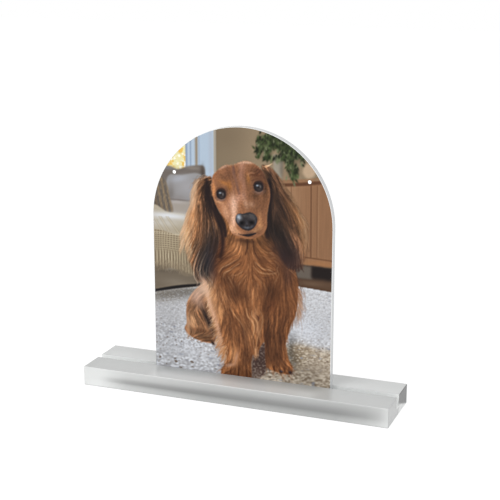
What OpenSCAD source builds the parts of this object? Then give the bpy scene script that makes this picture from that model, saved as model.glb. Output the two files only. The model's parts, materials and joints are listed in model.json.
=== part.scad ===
// Acrylic photo block: an arched clear panel that carries a printed picture
// stands in a groove along the top of a clear bar.
// Millimetres, +Z up, picture towards -Y. The origin is the centre of the
// bar's underside.

/* [Bar] */
// Length of the bar
bar_length = 218; // [150:1:320]
// Depth of the bar, front to back
bar_depth = 48; // [30:1:80]
// Thickness of the bar
bar_height = 13.5; // [11:0.5:25]
// Bevel on the bar's outer edges
bar_bevel = 0.6; // [0.2:0.1:1.5]

/* [Groove] */
// Depth of the groove that holds the panel
groove_depth = 7.5; // [4:0.5:9]
// Play between the panel and each wall of the groove
groove_play = 0.15; // [0.05:0.05:0.5]
// Bevel on the groove's two lips
groove_bevel = 0.4; // [0.1:0.1:1]

/* [Panel] */
// Width of the panel, and the diameter of its arch
panel_width = 127; // [80:1:145]
// Height of the panel, from its foot to the top of the arch
panel_height = 178; // [130:1:300]
// Thickness of the clear sheet
panel_thickness = 5; // [4:0.5:10]
// Bevel on the panel's edges
panel_bevel = 0.2; // [0.1:0.1:1]

/* [Hanging holes] */
// Diameter of the two holes in the shoulders
hole_diameter = 2; // [1:0.5:5]
// From each hole's centre out to the edge of the arch
hole_inset = 7; // [5:0.5:15]
// Angle of each hole above the spring line of the arch
hole_angle = 33; // [10:1:60]

/* [Print] */
// Thickness of the coloured ink
ink_thickness = 0.1; // [0.05:0.05:0.3]
// Thickness of the white ink under the colours
white_thickness = 0.1; // [0.05:0.05:0.3]
// Margin left bare between the print and the panel's bevel
print_margin = 0.1; // [0:0.1:1]
// Margin left bare round each hole
hole_margin = 0.2; // [0:0.1:1]

/* [Hidden] */
// How far a cut runs past the face that it opens
overrun = 1;
// Facets that an arch and a hole are drawn with
arch_facets = 180;
hole_facets = 48;

arch_radius = panel_width / 2;
arch_centre = panel_height - arch_radius;
hole_radius = hole_diameter / 2;
hole_reach = arch_radius - hole_inset;

// The panel and its print stand as one stack in the middle of the groove.
stack_depth = panel_thickness + white_thickness + ink_thickness;
groove_width = stack_depth + 2 * groove_play;
groove_floor = bar_height - groove_depth;
stack_front = -stack_depth / 2;
white_front = stack_front + ink_thickness;
panel_front = white_front + white_thickness;

// A rectangle that stands on the X axis, with its four corners cut off.
module bevelled_rectangle(width, height, bevel) {
    polygon([
        [-width / 2 + bevel, 0],
        [width / 2 - bevel, 0],
        [width / 2, bevel],
        [width / 2, height - bevel],
        [width / 2 - bevel, height],
        [-width / 2 + bevel, height],
        [-width / 2, height - bevel],
        [-width / 2, bevel]
    ]);
}

// Runs a section, drawn as a view from the right, along the X axis.
module along_x(length) {
    rotate([90, 0, 90])
        translate([0, 0, -length / 2])
            linear_extrude(length)
                children();
}

// Runs an outline, drawn as a view from the front, backwards from a plane.
module backwards_from(front, depth) {
    translate([0, front + depth, 0])
        rotate([90, 0, 0])
            linear_extrude(depth)
                children();
}

// Places its children at both hanging holes, in the view from the front.
module at_holes() {
    for (side = [-1, 1])
        translate([side * hole_reach * cos(hole_angle), arch_centre + hole_reach * sin(hole_angle)])
            children();
}

// Section of the groove, which flares at its lips and is open upwards.
module groove_section() {
    lip = groove_width / 2 + groove_bevel;
    polygon([
        [-groove_width / 2, groove_floor],
        [groove_width / 2, groove_floor],
        [groove_width / 2, bar_height - groove_bevel],
        [lip, bar_height],
        [lip, bar_height + overrun],
        [-lip, bar_height + overrun],
        [-lip, bar_height],
        [-groove_width / 2, bar_height - groove_bevel]
    ]);
}

// A block with all twelve edges bevelled, then grooved from end to end.
module base_bar() {
    color([0.86, 0.88, 0.88, 0.5])
        difference() {
            intersection() {
                along_x(bar_length)
                    bevelled_rectangle(bar_depth, bar_height, bar_bevel);
                backwards_from(-bar_depth / 2, bar_depth)
                    bevelled_rectangle(bar_length, bar_height, bar_bevel);
                linear_extrude(bar_height)
                    translate([0, -bar_depth / 2])
                        bevelled_rectangle(bar_length, bar_depth, bar_bevel);
            }
            along_x(bar_length + 2 * overrun)
                groove_section();
        }
}

// Half of the arch's section, from its centre out to its bevelled edge.
module arch_section() {
    polygon([
        [0, 0],
        [arch_radius - panel_bevel, 0],
        [arch_radius, panel_bevel],
        [arch_radius, panel_thickness - panel_bevel],
        [arch_radius - panel_bevel, panel_thickness],
        [0, panel_thickness]
    ]);
}

// The straight part of the panel as seen from the right, bevelled at its foot.
module foot_section() {
    polygon([
        [panel_bevel, 0],
        [panel_thickness - panel_bevel, 0],
        [panel_thickness, panel_bevel],
        [panel_thickness, arch_centre],
        [0, arch_centre],
        [0, panel_bevel]
    ]);
}

module arch_panel() {
    color([0.90, 0.92, 0.93, 0.4])
        translate([0, panel_front, groove_floor])
            difference() {
                union() {
                    translate([0, panel_thickness, arch_centre])
                        rotate([90, 0, 0])
                            rotate_extrude($fn = arch_facets)
                                arch_section();
                    intersection() {
                        linear_extrude(arch_centre)
                            bevelled_rectangle(panel_width, panel_thickness, panel_bevel);
                        along_x(panel_width)
                            foot_section();
                    }
                }
                backwards_from(-overrun, panel_thickness + 2 * overrun)
                    at_holes()
                        circle(r = hole_radius, $fn = hole_facets);
            }
}

// Outline of the print, which stops a little inside the panel's bevel.
module print_outline() {
    inset = panel_bevel + print_margin;
    translate([0, arch_centre])
        circle(r = arch_radius - inset, $fn = arch_facets);
    translate([-arch_radius + inset, inset])
        square([panel_width - 2 * inset, arch_centre - inset]);
}

// One layer of ink on the front of the panel, left bare round the holes.
module ink_layer(front, thickness) {
    translate([0, 0, groove_floor])
        backwards_from(front, thickness)
            difference() {
                print_outline();
                at_holes()
                    circle(r = hole_radius + hole_margin, $fn = hole_facets);
            }
}

module white_underprint() {
    color("white")
        ink_layer(white_front, white_thickness);
}

module picture_print() {
    color([0.62, 0.45, 0.30])
        ink_layer(stack_front, ink_thickness);
}

base_bar();
arch_panel();
white_underprint();
picture_print();
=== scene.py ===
# %% [markdown]
# Acrylic photo block, a lesson in clear plastic and printed ink
# The real object is a clear panel with a picture on its front, standing in
# the groove of a thicker clear bar. The measured solids come first, as a
# fixed frame, and everything made here takes its sizes from them.

# %% Load the frame
import json
import math

import bmesh
import bpy
import numpy as np
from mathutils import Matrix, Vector


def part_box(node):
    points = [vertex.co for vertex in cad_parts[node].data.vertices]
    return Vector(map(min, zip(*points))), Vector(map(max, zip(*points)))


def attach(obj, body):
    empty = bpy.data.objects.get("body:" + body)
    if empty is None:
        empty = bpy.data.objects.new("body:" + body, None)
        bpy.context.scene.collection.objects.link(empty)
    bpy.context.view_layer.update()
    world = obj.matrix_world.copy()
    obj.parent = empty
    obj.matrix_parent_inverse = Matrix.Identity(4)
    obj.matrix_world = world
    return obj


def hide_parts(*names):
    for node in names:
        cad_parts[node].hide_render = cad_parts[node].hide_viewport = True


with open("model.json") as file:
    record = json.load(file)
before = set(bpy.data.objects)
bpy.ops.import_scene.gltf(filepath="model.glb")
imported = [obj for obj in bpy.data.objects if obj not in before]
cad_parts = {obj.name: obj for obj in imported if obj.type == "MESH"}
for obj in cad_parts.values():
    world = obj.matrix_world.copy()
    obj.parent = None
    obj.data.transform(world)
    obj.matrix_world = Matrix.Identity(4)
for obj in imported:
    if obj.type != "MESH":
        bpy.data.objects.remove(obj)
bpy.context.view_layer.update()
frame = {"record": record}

# %% [markdown]
# Sizes are read from the solids' boxes, so that a changed part changes the
# scene with it.

# %% Read the sizes
MM = 0.001
bar_low, bar_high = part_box("base_bar")
panel_low, panel_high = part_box("arch_panel")
white_low, white_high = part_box("white_underprint")
print_low, print_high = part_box("picture_print")
mounts = {m["name"]: m for m in frame["record"]["mounts"]}
hole = mounts["hanging_hole_right"]

PANEL_WIDTH = panel_high[0] - panel_low[0]
ARCH_RADIUS = PANEL_WIDTH / 2
ARCH_CENTRE = panel_high[2] - ARCH_RADIUS
FOOT = panel_low[2]
HOLE_X, HOLE_Z = hole["pos_m"][0], hole["pos_m"][2]
HOLE_RADIUS = hole["dims"]["r_mm"] * MM
PRINT_INSET = print_low[0] - panel_low[0]
HOLE_MARGIN = 0.2 * MM
PRINT_HOLE = HOLE_RADIUS + HOLE_MARGIN
BAR_LENGTH = bar_high[0] - bar_low[0]
BAR_DEPTH = bar_high[1] - bar_low[1]
GROOVE_PLAY = 0.15 * MM
GROOVE_WIDTH = panel_high[1] - print_low[1] + 2 * GROOVE_PLAY
GROOVE_DEPTH = bar_high[2] - FOOT
print("panel", round(PANEL_WIDTH, 4), "arch centre", round(ARCH_CENTRE, 4), "hole", HOLE_X, HOLE_Z)

# %% [markdown]
# The camera stands where the photographer stood. Its place was worked out
# from the bar's corners in the photograph: a little to the right of the
# object, a little above it, with a long lens.

# %% Camera
CAMERA_AZIMUTH = 0.3679
CAMERA_ELEVATION = 0.2572
CAMERA_AIM = Vector((0, bar_low[1], 0.0432))
CAMERA_RIGHT, CAMERA_UP, CAMERA_BACK = 0.01385, 0.06199, 0.81235
CAMERA_LENS = 88.9

level = math.cos(CAMERA_ELEVATION)
aside, away = math.sin(CAMERA_AZIMUTH) * level, math.cos(CAMERA_AZIMUTH) * level
back = Vector((aside, -away, math.sin(CAMERA_ELEVATION)))
right = (-back).cross(Vector((0, 0, 1))).normalized()
up = right.cross(-back)
offset = CAMERA_RIGHT * right + CAMERA_UP * up + CAMERA_BACK * back

camera = bpy.data.objects.new("camera", bpy.data.cameras.new("camera"))
camera.data.lens = CAMERA_LENS
camera.location = CAMERA_AIM + offset
camera.rotation_mode = "QUATERNION"
camera.rotation_quaternion = (-back).to_track_quat("-Z", "Y")
bpy.context.collection.objects.link(camera)
bpy.context.scene.camera = camera
bpy.context.scene.view_settings.view_transform = "Standard"
print("camera at", [round(c, 3) for c in camera.location])

# %% [markdown]
# Two short helpers keep the node building readable: one makes a node and
# sets its properties, the other feeds a socket, either from another node's
# output or with a constant.


# %% Node helpers
def node(tree, kind, **values):
    made = tree.nodes.new(kind)
    for name, value in values.items():
        setattr(made, name, value)
    return made


def link(tree, source, target):
    if isinstance(source, (int, float, tuple)):
        target.default_value = source
    else:
        tree.links.new(source, target)


print("node helpers:", node.__name__, link.__name__)

# %% [markdown]
# The print is painted by rule, as an illustrator would paint it, and every
# place is in millimetres on the panel. The canvas is a plain grid of colours.
# Its cells are 0.3 mm wide, fine enough for single hairs and still quick to
# fill.

# %% The canvas
CELL = 0.3
PICTURE_WIDTH, PICTURE_HEIGHT, PICTURE_FOOT = 127, 178, 6.1
COLS, ROWS = round(PICTURE_WIDTH / CELL), round(PICTURE_HEIGHT / CELL)
ACROSS = (np.arange(COLS) + 0.5) * CELL - PICTURE_WIDTH / 2
UP = PICTURE_FOOT + PICTURE_HEIGHT - (np.arange(ROWS) + 0.5) * CELL
X, Z = np.meshgrid(ACROSS, UP)
canvas = np.zeros((ROWS, COLS, 3))
print("canvas", COLS, "by", ROWS)

# %% [markdown]
# Ink and paint never end in steps. One blur, a bell curve run up and down and
# then across, softens every edge and every grain that follows.

# %% Soft edges
BELL_REACH = 2.6


def blur(field, high, wide=None):
    """Softens a field by a bell curve, up and down and then across."""
    for axis, spread in ((0, high), (1, wide or high)):
        reach = max(1, int(BELL_REACH * spread / CELL + 0.5))
        bell = np.exp(-0.5 * (np.arange(-reach, reach + 1) * CELL / spread) ** 2)
        margin = [(reach, reach) if a == axis else (0, 0) for a in range(2)]
        more = np.pad(field, margin, mode="edge")
        long = field.shape[axis]
        shifted = [more[i:i + long] if axis == 0 else more[:, i:i + long] for i in range(len(bell))]
        field = sum(weight * part for weight, part in zip(bell / bell.sum(), shifted))
    return field


print("softening tool:", blur.__name__)

# %% [markdown]
# A shape starts as a few points around it. A smooth curve joins them, and the
# stencil counts how often each row of cells crosses that curve. It is 1
# inside and 0 outside, with a soft edge.

# %% Outlines
CURVE_STEPS = 6


def curve(points, closed=False):
    """A smooth line through the given points."""
    p = np.array(points, float)
    if closed:
        p = np.vstack([p[-1:], p, p[:2]])
    else:
        p = np.vstack([2 * p[0] - p[1], p, 2 * p[-1] - p[-2]])
    t = np.linspace(0, 1, CURVE_STEPS, endpoint=False)[:, None]
    bends = []
    for a, b, c, d in zip(p, p[1:], p[2:], p[3:]):
        square = (2 * a - 5 * b + 4 * c - d) * t**2 / 2
        cube = (3 * b - a - 3 * c + d) * t**3 / 2
        bends.append(b + (c - a) * t / 2 + square + cube)
    return np.vstack(bends if closed else bends + [p[-2:-1]])


def fill(points, soft, smooth=True):
    """A stencil: 1 inside an outline, 0 outside, with a soft edge."""
    a = curve(points, closed=True) if smooth else np.array(points, float)
    b = np.roll(a, -1, 0)
    row, edge = np.nonzero((a[:, 1] > UP[:, None]) != (b[:, 1] > UP[:, None]))
    share = (UP[row] - a[edge, 1]) / (b[edge, 1] - a[edge, 1])
    crossing = a[edge, 0] + share * (b[edge, 0] - a[edge, 0])
    col = np.clip((crossing - ACROSS[0]) / CELL + 0.5, 0, COLS - 1e-6)
    side = np.where(b[edge, 1] > a[edge, 1], 1.0, -1.0)
    whole = col.astype(int)
    turns = np.zeros((ROWS, COLS + 2))
    np.add.at(turns, (row, whole), side * (1 - col + whole))
    np.add.at(turns, (row, whole + 1), side * (col - whole))
    return blur(np.abs(np.cumsum(turns, 1))[:, :COLS].clip(0, 1), soft)


print("outline tools:", curve.__name__, fill.__name__)

# %% [markdown]
# Most of the painting happens in a small window of the canvas, which keeps
# it quick. Lay puts a colour wherever a mask is, and a dab is a soft tilted
# oval, strongest in its middle.

# %% Masks and dabs
EVERYWHERE = (slice(None), slice(None))


def window(x0, z0, x1, z1):
    """The rows and columns of the canvas that hold a rectangle."""
    c0, c1 = np.searchsorted(ACROSS, [x0, x1])
    r0, r1 = np.searchsorted(-UP, [-z1, -z0])
    return slice(r0, r1), slice(c0, c1)


def lay(mask, colour, strength=1, part=EVERYWHERE):
    """Lays a colour over the canvas where the mask is."""
    cover = (mask * strength)[..., None]
    canvas[part] += (np.asarray(colour, float) - canvas[part]) * cover


def dab(x, z, wide, high, tilt=0, part=EVERYWHERE):
    """A soft oval, tilted by degrees, over the whole canvas or a part of it."""
    c, s = math.cos(math.radians(tilt)), math.sin(math.radians(tilt))
    dx, dz = X[part] - x, Z[part] - z
    return np.exp(-((dx * c + dz * s) / wide) ** 2 - ((dz * c - dx * s) / high) ** 2)


print("mask tools:", window.__name__, lay.__name__, dab.__name__)

# %% [markdown]
# An airbrush lays such dabs one after the other. The brush lays a colour, and
# relight only makes the paint lighter or darker, so that the texture under
# it stays.

# %% Airbrush
DAB_REACH = 2.4


def small_dab(x, z, wide, high, tilt):
    """The window that a dab needs, and the dab in it."""
    reach = DAB_REACH * max(wide, high)
    part = window(x - reach, z - reach, x + reach, z + reach)
    return part, dab(x, z, wide, high, tilt, part)


def brush(mask, *dabs):
    """Lays soft oval dabs of (x, z, wide, high, tilt, colour, strength), only inside a stencil."""
    for x, z, wide, high, tilt, colour, strength in dabs:
        part, oval = small_dab(x, z, wide, high, tilt)
        lay(oval if mask is None else oval * mask[part], colour, strength, part)


def relight(mask, *dabs):
    """Makes soft ovals of (x, z, wide, high, tilt, factor) lighter or darker and keeps the texture."""
    for x, z, wide, high, tilt, factor in dabs:
        part, oval = small_dab(x, z, wide, high, tilt)
        canvas[part] *= 1 + (factor - 1) * (oval * mask[part])[..., None]


print("airbrush tools:", brush.__name__, relight.__name__)

# %% [markdown]
# A pen draws a line along a curve. Each cell takes the ink that its distance
# from the nearest stretch of the line allows, and the line can get thinner
# towards its ends. Strokes draws a whole table of lines that are equally
# soft.


# %% Pen
def pen(points, width, soft, taper, colour, strength):
    """Draws a line along a curve, thinner towards its ends if it tapers."""
    path = curve(points)
    reach = width / 2 + 2 * soft
    part = window(*path.min(0) - reach, *path.max(0) + reach)
    x, z = X[part], Z[part]
    away = np.full(x.shape, np.inf)
    for i, ((ax, az), (bx, bz)) in enumerate(zip(path, path[1:])):
        dx, dz = bx - ax, bz - az
        along = (((x - ax) * dx + (z - az) * dz) / (dx * dx + dz * dz + 1e-9)).clip(0, 1)
        half = width / 2 * (1 - taper * (2 * (i + 0.5) / (len(path) - 1) - 1) ** 2)
        away = np.minimum(away, np.hypot(x - ax - along * dx, z - az - along * dz) - half)
    lay((0.5 - away / (2 * soft)).clip(0, 1), colour, strength, part)


def strokes(soft, taper, *lines):
    """Draws lines of (points, width, colour, strength)."""
    for points, width, colour, strength in lines:
        pen(points, width, soft, taper, colour, strength)


print("line tools:", pen.__name__, strokes.__name__)

# %% [markdown]
# Wool, wood and leaves are uneven in their own ways. Noise gives wide soft
# hills, and speckle gives knots of one size. Both start from a fixed seed, so
# the print is the same every time.


# %% Cloud and grain
def noise(wide, high, seed, octaves=3):
    """Soft random hills between about -1 and 1."""
    rng = np.random.default_rng(seed)
    total = 0
    for octave in range(octaves):
        u = (ACROSS - ACROSS[0]) / wide * 2**octave
        v = (UP[0] - UP) / high * 2**octave
        grid = rng.uniform(-1, 1, (int(v[-1]) + 2, int(u[-1]) + 2))
        ui, vi = u.astype(int), v.astype(int)
        uf, vf = u - ui, (v - vi)[:, None]
        uf, vf = uf * uf * (3 - 2 * uf), vf * vf * (3 - 2 * vf)
        top = grid[vi][:, ui] * (1 - uf) + grid[vi][:, ui + 1] * uf
        low = grid[vi + 1][:, ui] * (1 - uf) + grid[vi + 1][:, ui + 1] * uf
        total = total + (top * (1 - vf) + low * vf) * 0.6**octave
    return total / 1.2


def speckle(wide, high, seed):
    """Random soft knots of one size, mostly between -1 and 1."""
    grain = np.random.default_rng(seed).standard_normal((ROWS, COLS))
    knots = blur(grain, high / 3, wide / 3) - blur(grain, high * 0.6, wide * 0.6)
    return knots / knots.std() / 1.6


print("texture tools:", noise.__name__, speckle.__name__)

# %% [markdown]
# A coat looks combed because neighbouring hairs lie alike. A few hints of
# place and direction are spread over a coarse grid, near hints counting most.

# %% How the hair lies
LIE_LEFT, LIE_RIGHT, LIE_TOP, LIE_FOOT = -64, 64, 185, 5


def lie(hints, reach=6):
    """How the hair lies, on a 1 mm grid, from hints of (x, z, degrees)."""
    x, z = np.meshgrid(np.arange(LIE_LEFT, LIE_RIGHT + 1), np.arange(LIE_TOP, LIE_FOOT - 1, -1))
    u = v = 0
    for hint_x, hint_z, degrees in hints:
        near = (((x - hint_x) ** 2 + (z - hint_z) ** 2) / reach**2 + 0.05) ** -1.5
        u = u + near * math.cos(math.radians(degrees))
        v = v + near * math.sin(math.radians(degrees))
    size = np.hypot(u, v)
    return u / size, v / size


def lie_at(flow, x, z):
    """The direction at each place, read from the nearest point of the grid."""
    col = (x + (0.5 - LIE_LEFT)).astype(int).clip(0, LIE_RIGHT - LIE_LEFT)
    row = (LIE_TOP + 0.5 - z).astype(int).clip(0, LIE_TOP - LIE_FOOT)
    return flow[0][row, col], flow[1][row, col]


print("direction tools:", lie.__name__, lie_at.__name__)

# %% [markdown]
# Combing smears a random grain along the hair. It makes the fine streaks of a
# coat quickly, long before any single hair is drawn.


# %% Comb
def comb(mask, flow, reach, depth, seed, thick):
    """Lightens and darkens the paint in streaks: random grain smeared along the hair."""
    grain = blur(np.random.default_rng(seed).standard_normal((ROWS, COLS)), thick)
    grain /= grain.std()
    rows, cols = np.nonzero(mask > 0.01)
    total, count = grain[rows, cols], 1
    for way in (CELL, -CELL):
        x, z = ACROSS[cols], UP[rows]
        for _ in range(int(reach / CELL)):
            u, v = lie_at(flow, x, z)
            x, z = x + way * u, z + way * v
            row = ((UP[0] - z) / CELL + 0.5).astype(int).clip(0, ROWS - 1)
            col = ((x - ACROSS[0]) / CELL + 0.5).astype(int).clip(0, COLS - 1)
            total = total + grain[row, col]
            count += 1
    streak = (total / math.sqrt(count) / 1.6).clip(-1.5, 1.5) * mask[rows, cols] * depth
    canvas[rows, cols] *= 1 + streak[:, None]


print("streak tool:", comb.__name__)

# %% [markdown]
# The locks need real strokes. A bundle of hairs is inked at once, and each
# step of each hair is shared out to the four cells around it, so that a hair
# thinner than a cell still looks smooth.


# %% Ink for a bundle of hairs
def ink_trails(x, z, weight, tint, strength):
    """Inks a bundle of hairs: every step of every hair adds its tint to the four nearest cells."""
    col, row = (x - ACROSS[0]) / CELL, (UP[0] - z) / CELL
    inside = (col > 0) & (col < COLS - 1.01) & (row > 0) & (row < ROWS - 1.01) & (weight > 0)
    ink = np.broadcast_to(tint, col.shape + (3,))[inside]
    col, row, weight = col[inside], row[inside], weight[inside]
    left, top = int(col.min()), int(row.min())
    wide, high = int(col.max()) - left + 2, int(row.max()) - top + 2
    c, r = col.astype(int), row.astype(int)
    cf, rf = col - c, row - r
    shares = ((1 - rf) * (1 - cf), (1 - rf) * cf, rf * (1 - cf), rf * cf)
    sums = np.zeros((4, wide * high))
    for corner, share in enumerate(shares):
        spot = (r + corner // 2 - top) * wide + c + corner % 2 - left
        for k in range(4):
            sums[k] += np.bincount(spot, weight * share * (ink[:, k] if k < 3 else 1), wide * high)
    cover = sums[3].reshape(high, wide, 1)
    mixed = sums[:3].T.reshape(high, wide, 3) / np.maximum(cover, 1e-6)
    patch = canvas[top:top + high, left:left + wide]
    patch += (mixed - patch) * (1 - np.exp(-strength * cover))


print("ink tool:", ink_trails.__name__)

# %% [markdown]
# Hundreds of hairs start at once, more where their roots are dense. Each has
# its own length and bend and takes small steps along the lie of the coat.

# %% Growth of the hairs
HAIR_STEP = 0.8 * CELL
LONGEST = 1.2


def hair_starts(rng, roots, count):
    """Random places in the roots, and the colour of the paint at each."""
    roots = roots * (roots > 0.04)
    chosen = np.searchsorted(np.cumsum(roots.ravel() / roots.sum()), rng.random(count))
    chosen = chosen.clip(0, roots.size - 1)
    x = X.ravel()[chosen] + rng.uniform(-CELL, CELL, count)
    z = Z.ravel()[chosen] + rng.uniform(-CELL, CELL, count)
    return x, z, canvas.reshape(-1, 3)[chosen]


def hair_trails(rng, x, z, flow, length, wave, spread, within):
    """The places and weights of every step of every hair."""
    long = length * rng.uniform(0.5, LONGEST, len(x))
    turn = rng.normal(0, spread, len(x))
    phase = rng.uniform(0, 6.3, len(x))
    trail = []
    for i in range(int(length * LONGEST / HAIR_STEP)):
        left = (1 - i * HAIR_STEP / long).clip(0, 1)
        weight = np.sqrt(left) * min(1, 0.3 + 0.2 * i)
        if within is not None:
            row = ((UP[0] - z) / CELL).astype(int).clip(0, ROWS - 1)
            col = ((x - ACROSS[0]) / CELL).astype(int).clip(0, COLS - 1)
            weight = weight * within[row, col]
        trail.append((x, z, weight))
        u, v = lie_at(flow, x, z)
        bend = turn + wave * np.sin(phase + i * HAIR_STEP * 1.2)
        x = x + HAIR_STEP * (u * np.cos(bend) - v * np.sin(bend))
        z = z + HAIR_STEP * (u * np.sin(bend) + v * np.cos(bend))
    return np.array(trail).transpose(1, 0, 2)


print("growth tools:", hair_starts.__name__, hair_trails.__name__)

# %% [markdown]
# Every hair mixes the paint under it with one of a few colours. The hairs
# are inked in layers, so that later ones cover earlier ones.

# %% Single hairs
HAIR_LAYERS = 3


def hairs(roots, flow, length, count, colours, seed, strength=0.7, blend=0.5, wave=0.2, spread=0.1,
        tone=0.15, within=None):
    """Draws single hairs: each starts somewhere in the roots and follows the flow, wavy and tapered."""
    rng = np.random.default_rng(seed)
    x, z, own = hair_starts(rng, roots, count)
    picked = np.array(colours, float)[rng.integers(0, len(colours), count)]
    share = (blend * rng.uniform(0.4, 1.3, count)).clip(0, 1)[:, None]
    tint = (own * (1 - share) + picked * share) * (1 + tone * rng.uniform(-1, 1, (count, 1)))
    x, z, weight = hair_trails(rng, x, z, flow, length, wave, spread, within)
    for layer in range(HAIR_LAYERS):
        mine = slice(layer, None, HAIR_LAYERS)
        ink_trails(x[:, mine], z[:, mine], weight[:, mine], tint[mine], strength)


print("hair tool:", hairs.__name__)

# %% [markdown]
# The colours are given as a screen shows them, and each has a name. A
# named colour is easy to tune in one place.

# %% Room colours
WALL, WALL_LIT = (136, 121, 100), (160, 141, 116)
SUNLIT, LEAF_GOLD = (234, 227, 178), (232, 190, 96)
CURTAIN, CURTAIN_SHADE, POST = (180, 195, 210), (142, 158, 180), (152, 140, 124)
SOFA = (152, 150, 150)
THROW, THROW_SHADE, THROW_LIT = (172, 158, 134), (122, 108, 88), (206, 194, 170)
BASE, BLACK = (118, 107, 93), (26, 23, 24)
OAK, OAK_SHADE, OAK_LIT = (146, 110, 82), (98, 66, 47), (176, 142, 112)
LEAF, LEAF_SHADE, LEAF_LIT, LEAF_PALE = (60, 72, 42), (36, 42, 26), (92, 104, 68), (122, 128, 98)
POT = (158, 150, 136)
RUG, RUG_LIT, RUG_GREY = (192, 193, 197), (224, 227, 233), (158, 157, 161)
RUG_SAND, RUG_EARTH = (180, 165, 144), (128, 111, 92)
print("room colours from wall", WALL, "to rug", RUG)

# %% [markdown]
# The room is painted from the back to the front. The wall is lit from the
# left, autumn leaves shine through the window, and the curtain is a few soft
# upright folds.


# %% Wall and window
def straight(points, soft, colour, strength=1):
    """Lays an even colour inside an outline with straight sides."""
    lay(fill(points, soft, False), colour, strength)


canvas[:] = WALL
brush(None, (22, 172, 22, 26, 0, WALL_LIT, 0.9), (-10, 178, 14, 10, 0, (128, 112, 92), 0.6))
glass = fill([(-66, 192), (-38.7, 192), (-38.7, 148), (-66, 148)], 0.5, False)
lay(glass, SUNLIT)
lay(glass * (noise(3.4, 3, 5) * 1.3 + 0.3).clip(0, 1), LEAF_GOLD, 0.8)
lay(glass * (noise(3, 2.6, 6) * 1.6 - 0.3).clip(0, 1), (255, 255, 250), 0.9)
straight([(-38.9, 192), (-17.6, 192), (-17.6, 145), (-38.9, 145)], 0.5, CURTAIN)
folds = ((-38.3, 0.8, CURTAIN_SHADE, 0.7), (-35.4, 0.6, CURTAIN_SHADE, 0.7), (-31.2, 1.1, POST, 0.95),
    (-29.2, 0.6, CURTAIN_SHADE, 0.4), (-20.8, 1.6, (176, 184, 196), 0.7),
    (-18.2, 0.8, (170, 156, 136), 0.8))
for x, wide, colour, strength in folds:
    lay(np.exp(-((X - x) / wide) ** 2) * (Z > 145), colour, strength)
print("wall and window painted")

# %% [markdown]
# The oak sideboard is flat colour with a weak grain. Thin dark lines stand
# for its top, its doors and the gap under it.

# %% Sideboard
cabinet = fill([(20, 150.4), (70, 154), (70, 96), (20, 96)], 0.3, False)
lay(cabinet, OAK)
brush(None, (34, 138, 9, 22, 0, OAK_LIT, 0.5))
canvas[:] *= 1 + 0.025 * (noise(0.8, 12, 8, 2) * cabinet)[..., None]
pen([(24, 147.6), (42, 149.6), (64, 153)], 2.2, 0.6, 0, OAK_SHADE, 0.85)
pen([(24, 150.2), (42, 152.2), (64, 155.6)], 1.4, 0.5, 0, (150, 114, 86), 0.8)
for x, wide, strength in ((35, 0.5, 0.5), (48.4, 0.7, 0.75), (52.6, 0.4, 0.5)):
    pen([(x, 149), (x + 0.2, 125), (x + 0.4, 102)], wide, 0.4, 0, OAK_SHADE, strength)
pen([(53.6, 149), (53.6, 103)], 0.7, 0.5, 0, OAK_LIT, 0.35)
pen([(35, 148.6), (48, 149.2)], 0.4, 0.4, 0, OAK_SHADE, 0.5)
pen([(44, 101.5), (64, 100.6)], 0.8, 0.4, 0, OAK_SHADE, 0.7)
brush(None, (56, 98, 12, 2.5, 0, (170, 122, 82), 0.6))
straight([(38, 96.6), (66, 95.4), (66, 80), (38, 80)], 0.4, (80, 62, 50))
straight([(38, 96), (50, 95.6), (50, 87), (38, 87)], 0.8, (112, 104, 96), 0.85)
straight([(49.4, 96), (66, 95.4), (66, 87.4), (49.4, 88)], 0.9, (34, 27, 26), 0.95)
straight([(38, 86.5), (66, 86), (66, 79), (38, 80.5)], 0.6, (96, 74, 58))
brush(None, (50, 84, 8, 1.5, 0, (120, 98, 80), 0.5))
print("sideboard painted")

# %% [markdown]
# Nobody draws a hanging plant leaf by leaf. Clusters say where it is thick,
# and a loop scatters short strokes in four greens over each of them, the
# darker two twice as often.

# %% Plant
straight([(22.4, 167.5), (29, 167.5), (28.4, 152.6), (23.2, 152.6)], 0.6, POT)
brush(None, (28.4, 159, 1.6, 7, 0, (118, 110, 98), 0.7))
lay(fill([(42.6, 157), (44, 162.4), (47, 163.4), (50, 162), (51, 156), (46, 153.6)], 0.8), (190, 166, 140))
rng = np.random.default_rng(3)
greens = (LEAF_SHADE, LEAF_SHADE, LEAF, LEAF, LEAF_LIT, LEAF_PALE)
clusters = ((27, 165, 4.4, 2.6), (30, 176, 11, 6), (36, 171, 7, 5), (41, 171, 5, 7), (22, 179, 7, 3),
    (15, 176, 4, 2.4), (12.4, 168, 2.4, 4), (19, 170, 3.4, 5), (14, 172, 3, 4), (34.6, 162, 3.6, 9),
    (32, 169, 4, 4), (36, 154.6, 1.6, 3), (23, 174.4, 6, 3), (17.6, 165, 3, 2.6), (37.6, 157.6, 2, 5))
for x, z, wide, high in clusters:
    brush(None, (x, z, wide * 0.8, high * 0.8, 0, LEAF_SHADE, 0.62))
    for _ in range(int(wide * high * 2)):
        green = greens[rng.integers(0, len(greens))]
        spot_x, spot_z = x + rng.normal(0, wide * 0.5), z + rng.normal(0, high * 0.5)
        leaf_wide, leaf_high, tilt = rng.uniform(0.8, 2), rng.uniform(0.5, 0.9), rng.uniform(40, 140)
        brush(None, (spot_x, spot_z, leaf_wide, leaf_high, tilt, green, 0.85))
print("plant painted")

# %% [markdown]
# The sofa is out of focus in the picture, so soft shapes are enough: a back,
# two cushions and an arm. The front cushion has stripes, made from a cosine
# across it.

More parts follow.
